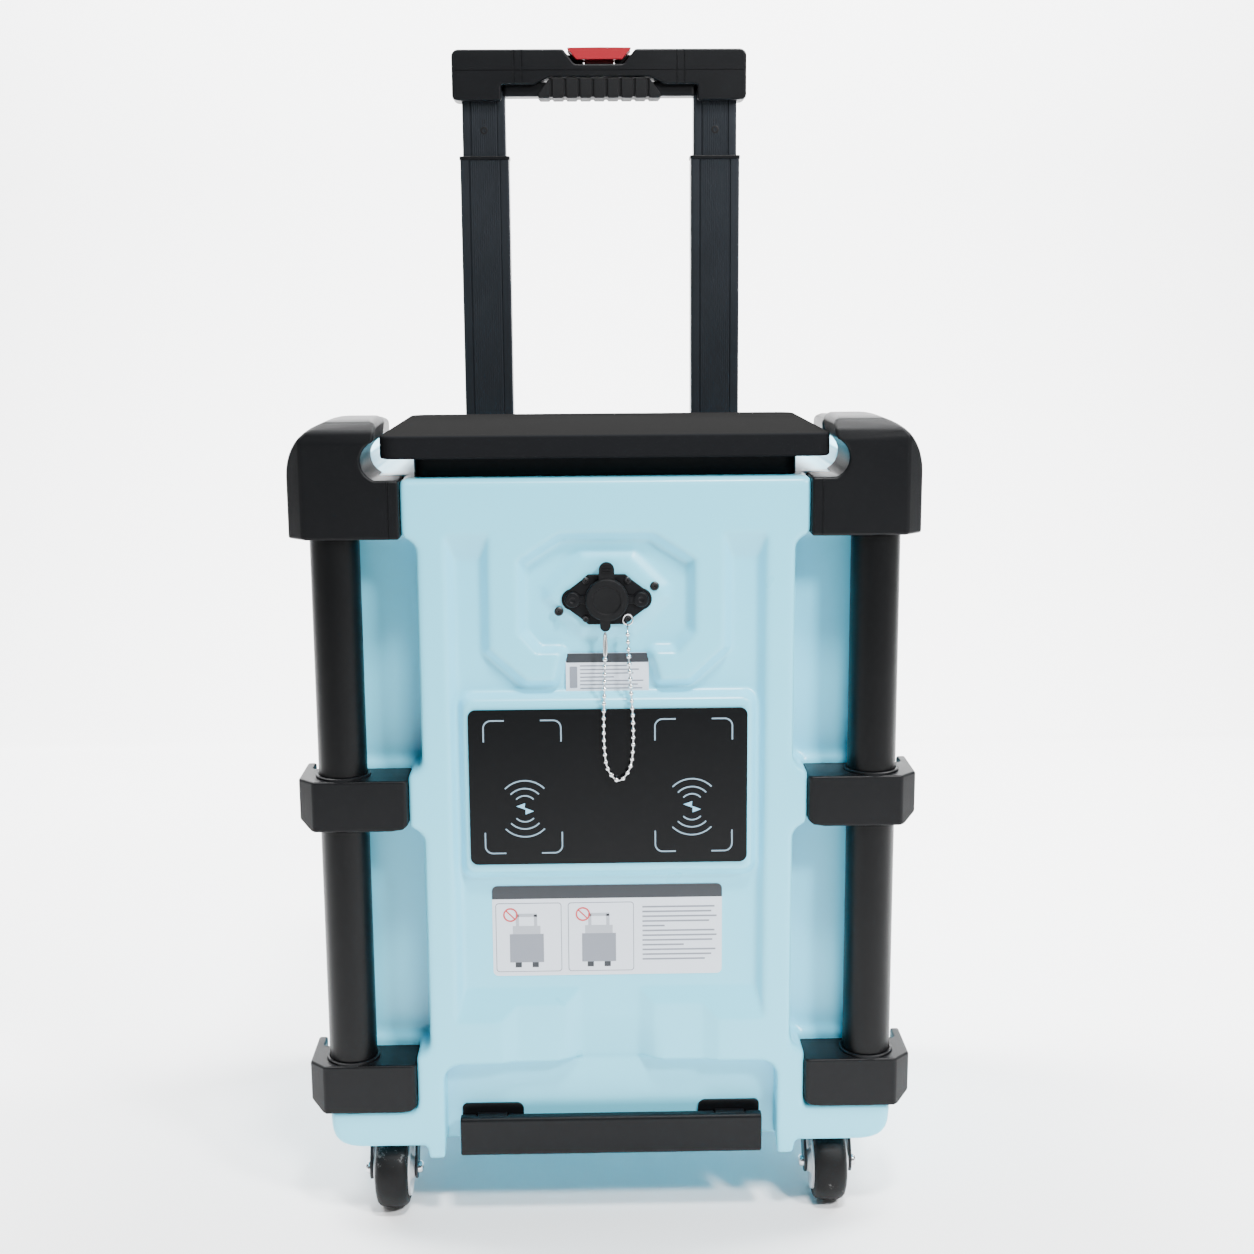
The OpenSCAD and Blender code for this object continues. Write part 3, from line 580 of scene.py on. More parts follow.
def surface_net(d, x, y, z):
    """Vertices, faces and normals of the zero level of a field on a grid with uneven steps."""
    inside = d < 0
    count = sum(
        inside[i : i + d.shape[0] - 1, j : j + d.shape[1] - 1, k : k + d.shape[2] - 1].astype(np.int8)
        for i in (0, 1) for j in (0, 1) for k in (0, 1)
    )
    ci, cj, ck = np.nonzero((count > 0) & (count < 8))
    index = np.full(count.shape, -1, dtype=np.int64)
    index[ci, cj, ck] = np.arange(len(ci))
    corners = [(i, j, k) for i in (0, 1) for j in (0, 1) for k in (0, 1)]
    value = {c: d[ci + c[0], cj + c[1], ck + c[2]] for c in corners}
    total, hits = np.zeros((len(ci), 3)), np.zeros(len(ci))
    for a in corners:
        for axis in range(3):
            if a[axis]:
                continue
            b = tuple(1 if n == axis else a[n] for n in range(3))
            va, vb = value[a], value[b]
            cross = (va < 0) != (vb < 0)
            t = np.where(cross, va / np.where(va == vb, 1, va - vb), 0)
            point = np.tile(np.array(a, dtype=float), (len(ci), 1))
            point[:, axis] = t
            total[cross] += point[cross]
            hits += cross
    local = total / hits[:, None]
    verts = np.stack([
        grid[c] + (grid[c + 1] - grid[c]) * local[:, n]
        for n, (grid, c) in enumerate(((x, ci), (y, cj), (z, ck)))
    ], axis=1)
    normals = np.zeros_like(verts)
    for n, slope in enumerate(np.gradient(d, x, y, z)):
        for c in corners:
            weight = np.ones(len(ci))
            for m in range(3):
                weight *= local[:, m] if c[m] else 1 - local[:, m]
            normals[:, n] += weight * slope[ci + c[0], cj + c[1], ck + c[2]]
    normals /= np.linalg.norm(normals, axis=1)[:, None]
    faces = []
    for axis in range(3):
        u, v = [n for n in range(3) if n != axis]
        low = [slice(1, -1)] * 3
        low[axis] = slice(0, -1)
        high = list(low)
        high[axis] = slice(1, None)
        flips = inside[tuple(low)] != inside[tuple(high)]
        cell = np.stack(np.nonzero(flips), axis=1)
        cell[:, u] += 1
        cell[:, v] += 1
        ring = []
        for du, dv in ((-1, -1), (0, -1), (0, 0), (-1, 0)):
            near = cell.copy()
            near[:, u] += du
            near[:, v] += dv
            ring.append(index[near[:, 0], near[:, 1], near[:, 2]])
        quad = np.stack(ring, axis=1)
        turn = inside[cell[:, 0], cell[:, 1], cell[:, 2]] == (axis != 1)
        quad[~turn] = quad[~turn][:, ::-1]
        faces.append(quad)
    return verts, np.concatenate(faces), normals


class SPEAKER_OT_cabinet(bpy.types.Operator):
    """Make the moulded cabinet as one soft surface"""

    bl_idname = "speaker.cabinet"
    bl_label = "Moulded cabinet"

    def execute(self, context):
        s = settings("cabinet")
        cell = s.cell * 1000 * 1

        def grid(*spans):
            parts = [np.linspace(a, b, max(2, round((b - a) / (cell * f)) + 1))[:-1] for a, b, f in spans]
            return np.concatenate(parts + [[spans[-1][1]]])

        x = grid((-284, -180, 1.4), (-180, 180, 1), (180, 284, 1.4))
        y = grid((-202, -140, 1), (-140, 140, 2.4), (140, 202, 1.4))
        z = grid((57, 739, 1))
        verts, faces, normals = surface_net(cabinet_field(x, y, z, s), x, y, z)
        mesh = bpy.data.meshes.new("body_shell_surface")
        mesh.from_pydata((verts * MM).tolist(), [], faces.tolist())
        mesh.polygons.foreach_set("use_smooth", [True] * len(mesh.polygons))
        mesh.update()
        mesh.normals_split_custom_set_from_vertices(normals.tolist())
        obj = bpy.data.objects.new("body_shell_surface", mesh)
        context.scene.collection.objects.link(obj)
        mesh.materials.append(finish("cabinet"))
        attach(obj, "cabinet")
        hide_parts("body_shell")
        return {"FINISHED"}


# ---------- roll cage and tray ----------


def clamp_shape(z0, z1):
    """A clamp at the +X, -Y corner: its plan, and the front outline it is kept inside."""
    plan = [(184.2, -150), (184.2, -197), (187.2, -200), (271, -200), (286, -185), (286, -128), (277.2, -128),
            (277.2, -150)]
    front = [(184, z0 + 6), (190, z0 + 1.5), (200, z0), (274, z0), (286.1, z0 + 9), (286.1, z1), (184, z1)]
    return Shape().prism(plan, "z", z0, z1), Shape().prism(front, "y", -201, -100)


def cap_shape(top, inner, hollow):
    """A corner cap at the +X, -Y corner, with the plan and side outlines it is kept inside."""
    shoulder = 50 if hollow else 40
    edge = arc((inner - 4, 731), 18, 70, -60, 10) if hollow else []
    front = [(182.5, 661), (286, 661)] + arc((286 - shoulder, top - shoulder), shoulder, 0, 90, 13)
    front += [(inner + 5, top), (inner, top - 5)] + edge + [(inner + 2, 714), (182.5, 714)]
    plan = [(182.5, -200), (271, -200), (286, -185), (286, -120), (182.5, -120)]
    side = [(-200, 661), (-200, top - 22), (-197, top - 10), (-189, top - 2), (-178, top), (-120, top), (-120, 661)]
    return (Shape().prism(front, "y", -200, -120), Shape().prism(plan, "z", 660, top + 1),
            Shape().prism(side, "x", 181, 287))


class SPEAKER_OT_roll_cage(bpy.types.Operator):
    """Make the four tubes with their clamps and corner caps"""

    bl_idname = "speaker.roll_cage"
    bl_label = "Roll cage"

    def execute(self, context):
        s = settings("cage")
        r = s.tube_diameter * 500
        edge = s.edge * 1000
        tube = [(r, 112.2), (r, 700), (r - 2.5, 700), (r - 2.5, 112.2)]
        bore = Shape().lathe([(0, 50), (r + 0.15, 50), (r + 0.15, 702), (0, 702)], "z", (246, -174, 0), 64)
        for corner, (sx, sy) in CORNERS.items():
            side = (sx, -sy)
            piece("cage_" + corner, Shape().lathe(tube, "z", (246 * sx, 174 * sy, 0), 64), ["cage_tube"],
                  parts=["tube_" + corner])
            for kind, z0, z1 in (("mid_clamp_", 390, 438), ("foot_clamp_", 112, 160)):
                block, front = clamp_shape(z0, z1)
                piece(kind + corner + "_surface", block.at(*side), ["black_plastic"], bevel=edge,
                      keep=[front.at(*side)], cuts=[bore.at(*side)], parts=[kind + corner])
                lip = [(r + 0.2, z1 - 4), (r + 3.4, z1 - 4), (r + 2.9, z1 + 2.0), (r + 2.2, z1 + 2.5),
                       (r + 0.6, z1 + 2.5), (r + 0.2, z1 + 2)]
                collar = Shape().lathe(lip, "z", (246, -174, 0), 64)
                piece(kind + corner + "_collar", collar.at(*side), ["black_plastic"])
            near = sy < 0
            front, plan, profile = cap_shape(767 if near else 747, 203.5 if near else 235, near)
            cuts = [Shape().box((0, -149.9, 0), (277.1, 0, 714.1)),
                    Shape().box((0, -250, 0), (184.2, 0, 714.1)), bore]
            seams = [Shape().box((193.7, -201, 650), (194.4, -199.3, 735))] if near else []
            piece("cap_" + corner + "_surface", front.at(*side), ["black_plastic"], bevel=edge * 1.2,
                  keep=[plan.at(*side), profile.at(*side)], cuts=[c.at(*side) for c in cuts],
                  scores=[c.at(*side) for c in seams], parts=["cap_" + corner])
        return {"FINISHED"}


class SPEAKER_OT_tray(bpy.types.Operator):
    """Make the tray on top and the low frame under it"""

    bl_idname = "speaker.tray"
    bl_label = "Tray"

    def execute(self, context):
        tray = Shape().prism(round_rect((0, -42.5), 404, 305, 16), "z", 732, 753)
        piece("top_tray_surface", tray, ["tray"], bevel=2.5, parts=["top_tray"])
        frame_low = Shape().prism(round_rect((0, -36), 348, 272, 14), "z", 714, 732)
        hole = Shape().prism(round_rect((0, -36), 328, 252, 6), "z", 710, 740)
        piece("tray_plinth_surface", frame_low, ["black_plastic"], bevel=1.2, cuts=[hole], parts=["tray_plinth"])
        return {"FINISHED"}


# ---------- trolley handle ----------


def ribbed_tube(width, depth, z0, z1, s):
    """A rectangular tube whose faces across Y carry fine ribs between two plain edge strips."""
    pitch, cut = s.rib_pitch * 1000, s.rib_depth * 1000
    half_w, half_d, strip, r = width / 2, depth / 2, width * 0.19, 2.2
    count = int((width - 2 * strip) / pitch)
    start = -count * pitch / 2
    edge = [(half_w, half_d - r), *arc((half_w - r, half_d - r), r, 20, 90, 4), (-start + 1.2, half_d),
            (-start + 0.4, half_d - 1.0)]
    for i in reversed(range(count)):
        x = start + i * pitch
        edge += [(x + pitch * 0.75, half_d - cut), (x + pitch * 0.5, half_d - 0.02), (x + pitch * 0.25, half_d - cut)]
    edge += [(start - 0.4, half_d - 1.0), (start - 1.2, half_d), *arc((r - half_w, half_d - r), r, 90, 160, 4),
             (-half_w, half_d - r)]
    outline = edge + [(-x, -y) for x, y in edge]
    return Shape().prism([(x + 120.4, y + 142) for x, y in outline], "z", z0, z1)


class SPEAKER_OT_trolley(bpy.types.Operator):
    """Make the two sliding stages of the trolley handle"""

    bl_idname = "speaker.trolley"
    bl_label = "Trolley tubes"

    def execute(self, context):
        s = settings("trolley")
        middle, inner, collar = Shape(), Shape(), Shape()
        rivets = Shape()
        for sx in (1, -1):
            middle.join(ribbed_tube(51, 25, 460, 1015.5, s).at(sx))
            inner.join(ribbed_tube(45, 19.4, 520, 1084, s).at(sx))
            collar.join(Shape().prism(round_rect((120.4, 142), 52.4, 26.4, 3), "z", 1015, 1019).at(sx))
            head = [(0, -0.8), (1.5, -0.8), (1.9, 0.25), (3.0, 0.3), (4.1, 0.1), (4.4, -0.4), (4.4, -3), (0, -3)]
            rivets.join(Shape().lathe([(r, -h) for r, h in head], "y", (120.4 * sx, 132.6, 1045), 28))
            for dx in (-1.2, 1.2):
                rivets.box((120.4 * sx + dx - 0.3, 132.35, 1051), (120.4 * sx + dx + 0.3, 133, 1056))
        hollow, bore = Shape(), Shape()
        for sx in (1, -1):
            hollow.join(Shape().prism(round_rect((120.4 * sx, 142), 45.8, 20.2, 1), "z", 455, 1030))
            bore.join(Shape().prism(round_rect((120.4 * sx, 142), 41, 15.4, 1), "z", 515, 1083))
        piece("middle_tubes_surface", middle, ["trolley_tube"], "middle_stage", cuts=[hollow],
              parts=["middle_tubes"], sharp=18)
        piece("middle_tubes_collars", collar, ["black_plastic"], "middle_stage", bevel=0.8, cuts=[hollow])
        piece("inner_tubes_surface", inner, ["trolley_tube"], "handle", cuts=[bore], parts=["inner_tubes"], sharp=18)
        piece("inner_tubes_rivets", rivets, ["black_screw"], "handle")
        return {"FINISHED"}


class SPEAKER_OT_grip(bpy.types.Operator):
    """Make the grip with its rubber pad and release button"""

    bl_idname = "speaker.grip"
    bl_label = "Grip"

    def execute(self, context):
        s = settings("trolley")
        half = 152.25
        right = [(25.5, 1110.2), (37.2, 1125)] + arc((half - 7, 1118), 7, 90, 0, 6) + [(half, 1080)]
        right += arc((half - 5, 1079), 5, 0, -60, 3) + [(half - 9, 1074), (101.5, 1074), (101.5, 1090)]
        right += [(68, 1090), (50.5, 1097.6)]
        grip = Shape().prism(mirrored(right), "y", 124, 160)
        sockets, grooves = Shape(), []
        for sx in (1, -1):
            sockets.join(Shape().prism(round_rect((120.4 * sx, 142), 45.2, 19.6, 1), "z", 1070, 1084))
            for x in (80, 88):
                grooves.append(Shape().box((sx * x - 0.7, 120, 1085), (sx * x + 0.7, 125.0, 1130)))
        slot = Shape().box((-16, 136, 1106), (16, 148, 1120))
        seam = Shape().box((-160, 123, 1103.8), (160, 124.5, 1104.5))
        piece("grip_shell_surface", grip, ["black_plastic"], "handle", bevel=2.0, segments=4,
              cuts=[sockets, slot], scores=[seam] + grooves, parts=["grip_shell"])
        web = Shape().prism(round_rect((0, 142), 203, 24, 6), "z", 1078.5, 1093)
        piece("grip_web", web, ["black_plastic"], "handle", bevel=2.0)
        pad = Shape().prism(mirrored([(64, 1077.6), (51, 1096.2), (0, 1096.2)]), "y", 127, 157)
        pitch = s.pad_pitch * 1000
        for i in range(9):
            mid = (i - 4) * pitch
            low, high = mid - pitch / 2 + 1.3, mid + pitch / 2 - 1.3
            tops = [min(1096.6, 1077 + (66 - abs(v)) * 1.35) for v in (low, high)]
            rib = [(low + 1, 1076.2), (high - 1, 1076.2), (high, 1077.4), (high, tops[1]), (low, tops[0]),
                   (low, 1077.4)]
            pad.prism(rib, "y", 124.9, 159.1)
        piece("grip_pad_surface", pad, ["rubber"], "handle", bevel=1.0, segments=2, parts=["grip_pad"])
        wedge = [(22.8, 1114.8), (24.2, 1115.4), (33.0, 1125.6), (32.4, 1126.5), (0, 1126.8)]
        button = Shape().prism(mirrored(wedge), "y", 124.5, 136).prism(mirrored(wedge), "y", 148, 159.5)
        button.box((-32, 134, 1125.2), (32, 150, 1126.7))
        guide = Shape()
        for sx in (-1, 1):
            guide.box((min(sx * 16.5, sx * 36), 137.5, 1108), (max(sx * 16.5, sx * 36), 146.5, 1120.8))
        piece("release_button_guide", guide, ["black_plastic"], "handle", bevel=0.5, segments=1)
        piece("release_button_surface", button, ["release_red"], "release_button", bevel=0.9, segments=2,
              parts=["release_button"])
        stem = Shape().box((-15, 137, 1111.5), (15, 147, 1118))
        piece("release_button_stem", stem, ["release_red"], "release_button", bevel=0.6)
        return {"FINISHED"}


# ---------- charging panel, inlet and labels ----------


def ribbon(points, width, y0, y1):
    """A flat line of some width along points in X and Z."""
    path = [Vector(p) for p in points]
    left, right = [], []
    for i, p in enumerate(path):
        t = (path[min(i + 1, len(path) - 1)] - path[max(i - 1, 0)]).normalized()
        n = Vector((-t.y, t.x)) * width / 2
        left.append(tuple(p + n))
        right.append(tuple(p - n))
    return Shape().prism(left + right[::-1], "y", y0, y1)


class SPEAKER_OT_charging_panel(bpy.types.Operator):
    """Make the charging panel with its printed phone outlines and charge symbols"""

    bl_idname = "speaker.charging_panel"
    bl_label = "Charging panel"

    def execute(self, context):
        s = settings("panel")
        panel = Shape().prism(round_rect((0, 430), 256, 147, 7, 9), "y", -197.5, -195.9)
        piece("charging_panel_surface", panel, ["charging_panel"], bevel=0.5, parts=["charging_panel"])
        marks, bolts = Shape(), Shape()
        line, front, back = s.line * 1000, -197.68, -197.3
        for sx in (-1, 1):
            cx, cz = sx * 78.5, 430.5
            for kx in (-1, 1):
                for kz in (-1, 1):
                    corner = [(cx + kx * 16.5, cz + kz * 63)]
                    corner += [(cx + kx * (28.5 + 7 * math.sin(a)), cz + kz * (56 + 7 * math.cos(a)))
                               for a in np.linspace(0, math.pi / 2, 8)]
                    corner += [(cx + kx * 35.5, cz + kz * 43)]
                    marks.join(ribbon(corner, line, front, back))
            bx, bz = cx + sx * -1.5, 410
            for reach, half, radius in ((12.4, 8, 11), (19.3, 13, 18), (26.8, 18, 25)):
                spread = math.degrees(math.asin(half / radius))
                for k in (1, -1):
                    points = [(bx + (p[0] - bx), bz + k * (p[1] - bz))
                              for p in arc((bx, bz + reach - radius), radius, 90 - spread, 90 + spread, 14)]
                    marks.join(ribbon(points, line, front, back))
            order = [(-8, 2.4), (0.2, 5.4), (-0.4, 1.0), (8.2, -2.4), (0.4, -5.4), (0.6, -0.8)]
            bolts.prism([(bx + x, bz + z) for x, z in order], "y", front, back)
        piece("charging_panel_marks", marks, ["print"])
        piece("charging_panel_bolts", bolts, ["bolt"])
        return {"FINISHED"}


def chain_line():
    """The chain's route through its given points, as a smooth line in millimetres."""
    route = [(-1.5, -197.6, 575), (-2, -199, 552), (-3, -200.5, 520), (-3.8, -201, 489), (-3, -201.5, 462),
             (0.5, -201.5, 446), (9.5, -201.5, 437), (18.5, -201.5, 446), (22.3, -201.5, 462), (23, -201, 489),
             (21.4, -200.5, 520), (19.6, -199, 550), (18.5, -197.6, 576.4)]
    p = [Vector(q) for q in route]
    p = [p[0] * 2 - p[1]] + p + [p[-1] * 2 - p[-2]]
    out = []
    for a, b, c, d in zip(p, p[1:], p[2:], p[3:]):
        for t in np.arange(0, 1, 0.125):
            out.append(0.5 * (2 * b + (c - a) * t + (2 * a - 5 * b + 4 * c - d) * t * t
                              + (3 * b - a - 3 * c + d) * t * t * t))
    return out + [p[-2]]


def along(line, distance):
    """The point at some distance along a line."""
    for a, b in zip(line, line[1:]):
        step = (b - a).length
        if distance <= step:
            return a + (b - a) * (distance / step)
        distance -= step
    return line[-1]


class SPEAKER_OT_inlet(bpy.types.Operator):
    """Make the mains inlet with its flange, screws, cap and ball chain"""

    bl_idname = "speaker.inlet"
    bl_label = "Inlet and chain"

    def execute(self, context):
        s = settings("panel")
        z = 604
        right = [(17, z + 23), (22.5, z + 18)] + arc((31, z), 10, 75, -75, 12) + [(22.5, z - 18), (17, z - 23)]
        flange = Shape().prism(mirrored(right), "y", -193, -190)
        mouth = Shape().lathe([(0, -200), (14, -200), (14, -172), (0, -172)], "y", (0, 0, z), 48)
        piece("inlet_flange_surface", flange, ["black_plastic"], bevel=0.9, cuts=[mouth], parts=["inlet_flange"])
        bosses = Shape()
        for sx in (-1, 1):
            boss = [(0, -195.4), (2.2, -195.4), (2.6, -196), (6.2, -196), (7, -195.2), (7.4, -192.8), (0, -192.8)]
            bosses.lathe(boss, "y", (31 * sx, 0, z), 32)
            bosses.prism([(sx * x, z + dz) for x, dz in ((18, 4), (27, 3), (27, -3), (18, -4))], "y", -195.2, -192.8)
        piece("inlet_flange_bosses", bosses, ["black_plastic"], bevel=0.4, segments=2)
        throat = [(14, -192.5), (16.8, -192.5), (16.8, -170), (0, -170), (0, -172), (14, -172)]
        piece("inlet_flange_throat", Shape().lathe(throat, "y", (0, 0, z), 48), ["black_plastic"])
        screws = Shape()
        places = [(sx * 19, z + sz * 17.5, -193) for sx in (-1, 1) for sz in (-1, 1)]
        places += [(-43.5, z - 11, -190), (43.5, z + 11.5, -190)]
        for x, zz, y in places:
            r = 3.2 if y < -191 else 4.2
            head = [(0, y - 0.5), (1.1, y - 0.5), (1.3, y - 1.3), (r * 0.75, y - 1.5), (r, y - 0.8), (r, y + 0.3),
                    (0, y + 0.3)]
            screws.lathe(head, "y", (x, 0, zz), 20)
        piece("inlet_screws_surface", screws, ["black_screw"], parts=["inlet_screws"])
        cap = [(0, -198.4), (7, -198.5), (12.4, -198.9), (13.2, -199.8), (15, -200), (18.2, -199.8), (19.3, -198.8),
               (19.5, -197.5), (19.5, -193.4), (13.4, -193.4), (13.4, -180), (0, -180)]
        plug = Shape().lathe(cap, "y", (0, 0, z), 56)
        plug.prism(arc((0, z + 27.5), 7, 0, 180, 14) + [(-7, z + 13), (7, z + 13)], "y", -198.2, -193.5)
        plug.prism(arc((-1.5, z - 23.5), 4.8, 180, 360, 12) + [(3.3, z - 14), (-6.3, z - 14)], "y", -199.6, -195.4)
        for k in range(3):
            plug.box((-4.2, -198.8, z + 24.5 + k * 2.6), (4.2, -197.9, z + 25.6 + k * 2.6))
        piece("inlet_cap_surface", plug, ["rubber"], "inlet_cap", parts=["inlet_cap"])
        line = chain_line()
        total = sum((b - a).length for a, b in zip(line, line[1:]))
        chain = Shape().sweep(line, 0.75, 8)
        chain_at, pitch = 25.0, s.bead_pitch * 1000
        while chain_at < total - 1:
            chain.ball(along(line, chain_at), s.bead * 500, steps=10, rings=6)
            chain_at += pitch
        link = []
        for k in range(20):
            a = 2 * math.pi * k / 20
            link.append((-1.8 + 1.3 * math.cos(a), -198.6, 563.5 + 11 * math.sin(a)))
        chain.sweep(link, 1.0, 8, closed=True)
        obj = raw_object("cap_chain_beads", chain)
        for polygon in obj.data.polygons:
            polygon.use_smooth = True
        obj.data.materials.append(finish("chain"))
        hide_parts("cap_chain")
        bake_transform(obj)
        ring = [(19 + 4.4 * math.cos(a), -194.4, z - 18.3 + 4.8 * math.sin(a))
                for a in np.linspace(0, 2 * math.pi, 25)[:-1]]
        eye = Shape().sweep(ring, 0.85, 8, closed=True)
        eye.sweep([(18.9, -194.6, z - 22.8), (18.7, -196.6, z - 25), (18.5, -197.6, z - 27)], 0.8, 8)
        piece("chain_eye", eye, ["plated_steel"])
        return {"FINISHED"}


class SPEAKER_OT_labels(bpy.types.Operator):
    """Make the two blank rating labels with plain bars in place of words"""

    bl_idname = "speaker.labels"
    bl_label = "Labels"

    def execute(self, context):
        small = Shape().prism(round_rect((0, 534.5), 76, 38, 2), "y", -186.4, -185.6)
        small.join(Shape().prism(round_rect((0, 549), 75.4, 8.6, 1), "y", -186.55, -186.3), 1)
        small.join(Shape().prism(round_rect((-31, 531), 7, 20, 1), "y", -186.55, -186.3), 2)
        for k, reach in enumerate((18, 29, 24, 6, 33, 28, 32)):
            small.box((-25, -186.55, 541 - k * 3.5), (reach, -186.3, 542.1 - k * 3.5), 2)
        piece("inlet_label", small, ["label", "label_ink", "label_grey"])
        big = Shape().prism(round_rect((-2, 287), 216, 89, 5), "y", -184.8, -183.9)
        header = arc((101, 326.5), 5, 0, 90, 6) + arc((-105, 326.5), 5, 90, 180, 6) + [(-110, 318.5), (106, 318.5)]
        big.prism(header, "y", -184.95, -184.7, 1)
        for cx in (-76, -8):
            big.join(Shape().prism(round_rect((cx, 280.5), 62, 68, 3), "y", -184.95, -184.7), 2)
            big.join(Shape().prism(round_rect((cx, 280.5), 60.6, 66.6, 2.6), "y", -185.1, -184.8), 0)
            for low, high, tone in (((cx - 18, 256), (cx + 14, 284), 2), ((cx - 15, 284), (cx + 11, 292), 3),
                                    ((cx - 12, 292), (cx - 9, 303), 3), ((cx + 5, 292), (cx + 8, 303), 3),
                                    ((cx - 12, 301), (cx + 8, 304), 3), ((cx - 13, 251), (cx - 7, 256), 1),
                                    ((cx + 3, 251), (cx + 9, 256), 1)):
                big.box((low[0], -185.25, low[1]), (high[0], -185.0, high[1]), tone)
            big.join(Shape().lathe([(5.4, -185.3), (6.8, -185.3), (6.8, -185.0), (5.4, -185.0)], "y",
                                   (cx - 17, 0, 303), 28), 4)
            big.join(ribbon([(cx - 21, 307), (cx - 13, 299)], 1.2, -185.3, -185.0), 4)
        for k, reach in enumerate((99, 96, 101, 94, 52, 99, 101, 97, 70, 100, 96, 90)):
            big.box((31, -184.95, 308.5 - k * 4.7), (reach, -184.7, 310 - k * 4.7), 2)
        piece("rating_label", big, ["label", "label_ink", "label_grey", "label_tint", "label_red"])
        return {"FINISHED"}


# ---------- lift bar and casters ----------


class SPEAKER_OT_lift_bar(bpy.types.Operator):
    """Make the swinging lift bar and its two brackets"""

    bl_idname = "speaker.lift_bar"
    bl_label = "Lift bar"

    def execute(self, context):
        section = [(-195.5, 65.5), (-183, 65.5), (-180, 68.5), (-180, 98.3), (-188, 104.3), (-195.5, 104.3),
                   (-198, 101.8), (-198, 68)]
        bar = Shape().prism(section, "x", -144, 144)
        cuts = [Shape().box((s * 114 - 15, -192.3, 89.5), (s * 114 + 15, -170, 118)) for s in (-1, 1)]
        cuts.append(Shape().lathe([(0, -138), (2.6, -138), (2.6, 138), (0, 138)], "x", (0, -186, 97.5), 24))
        piece("lift_bar_surface", bar, ["black_plastic"], "lift_bar", bevel=1.6, cuts=cuts, parts=["lift_bar"])
        brackets = Shape()
        for s in (-1, 1):
            plate = [(84, 76), (143, 76), (143, 106)] + arc((138.5, 106), 4.5, 0, 90, 6)[1:]
            plate += arc((90.5, 104), 6.5, 90, 180, 6)
            brackets.prism([(s * x, z) for x, z in plate], "y", -178.5, -176)
            brackets.box((min(s * 100, s * 128), -186, 93.5), (max(s * 100, s * 128), -177.5, 101.5))
            knuckle = [(5.4, 100), (5.4, 128), (0, 128), (0, 100)]
            brackets.lathe([(r, s * h) for r, h in knuckle], "x", (0, -186, 97.5), 28)
            brackets.lathe([(0, s * 90), (2.5, s * 90), (2.5, s * 136), (0, s * 136)], "x", (0, -186, 97.5), 20)
        piece("lift_bar_brackets_surface", brackets, ["black_plastic"], bevel=0.6, parts=["lift_bar_brackets"])
        return {"FINISHED"}


class SPEAKER_OT_casters(bpy.types.Operator):
    """Make the four swivel casters"""

    bl_idname = "speaker.casters"
    bl_label = "Casters"

    def execute(self, context):
        nut = settings("gear").axle_nut * 1000
        tyre = [(24.5, -14.5), (30, -15.8), (33.4, -14.6), (35.6, -12.4), (36.9, -9), (37.45, -4.5), (37.5, 0),
                (37.45, 4.5), (36.9, 9), (35.6, 12.4), (33.4, 14.6), (30, 15.8), (24.5, 14.5)]
        rim = [(4.1, -20), (10, -20), (11, -17.4), (14, -15), (22, -14.6), (24.6, -17.2), (26.8, -16.8), (27, -14),
               (27, 14), (26.8, 16.8), (24.6, 17.2), (22, 14.6), (14, 15), (11, 17.4), (10, 20), (4.1, 20)]
        for corner, (sx, sy) in CORNERS.items():
            ox, oy = 212 * sx, 132 * sy
            wheel = Shape().lathe(tyre, "x", (ox, oy - 30, 37.5), 64)
            wheel.join(Shape().lathe(rim, "x", (ox, oy - 30, 37.5), 48), 1)
            piece("wheel_" + corner + "_surface", wheel, ["tyre", "rim"], "wheel_" + corner,
                  parts=["wheel_" + corner])
            crown = [(0, 80), (22.5, 80), (24, 81.5), (24, 84.2), (22.5, 85.7), (0, 85.7)]
            fork = Shape().lathe(crown, "z", (ox, oy, 0), 40)
            fork.lathe([(0, 85), (5, 85), (5, 90.7), (0, 90.7)], "z", (ox, oy, 0), 20)
            fork.lathe([(0, -24), (4, -24), (4, 24), (0, 24)], "x", (ox, oy - 30, 37.5), 20)
            leg = [(-20, 83), (12, 83), (12, 76), (-19, 30.5), (-24, 27.5), (-31, 26.5), (-37, 29), (-40, 33.5),
                   (-40, 43.5), (-23, 74)]
            for s in (-1, 1):
                fork.prism([(y + oy, z) for y, z in leg], "x", ox + s * 20.6, ox + s * 23.2)
            piece("fork_" + corner + "_surface", fork, ["fork_steel"], "fork_" + corner, bevel=0.7, segments=2,
                  parts=["fork_" + corner])
            nuts = Shape()
            for s in (-1, 1):
                dome = [(nut, 23.1), (nut, 25), (nut * 0.97, 26), (nut * 0.8, 27.4), (nut * 0.5, 28.2), (0, 28.5),
                        (0, 23.1)]
                nuts.lathe([(r, s * h) for r, h in dome], "x", (ox, oy - 30, 37.5), 24)
            piece("axle_nuts_" + corner, nuts, ["plated_steel"], "fork_" + corner)
        plates = Shape()
        for sx, sy in CORNERS.values():
            plates.prism(round_rect((212 * sx, 132 * sy), 62, 62, 6), "z", 92, 96)
            plates.lathe([(5.1, 86), (19, 86), (21, 87.5), (21, 92.5), (5.1, 92.5)], "z", (212 * sx, 132 * sy, 0), 40)
        piece("caster_plates_surface", plates, ["plated_steel"], bevel=0.5, segments=2, parts=["caster_plates"])
        return {"FINISHED"}


# ---------- drivers and controls ----------


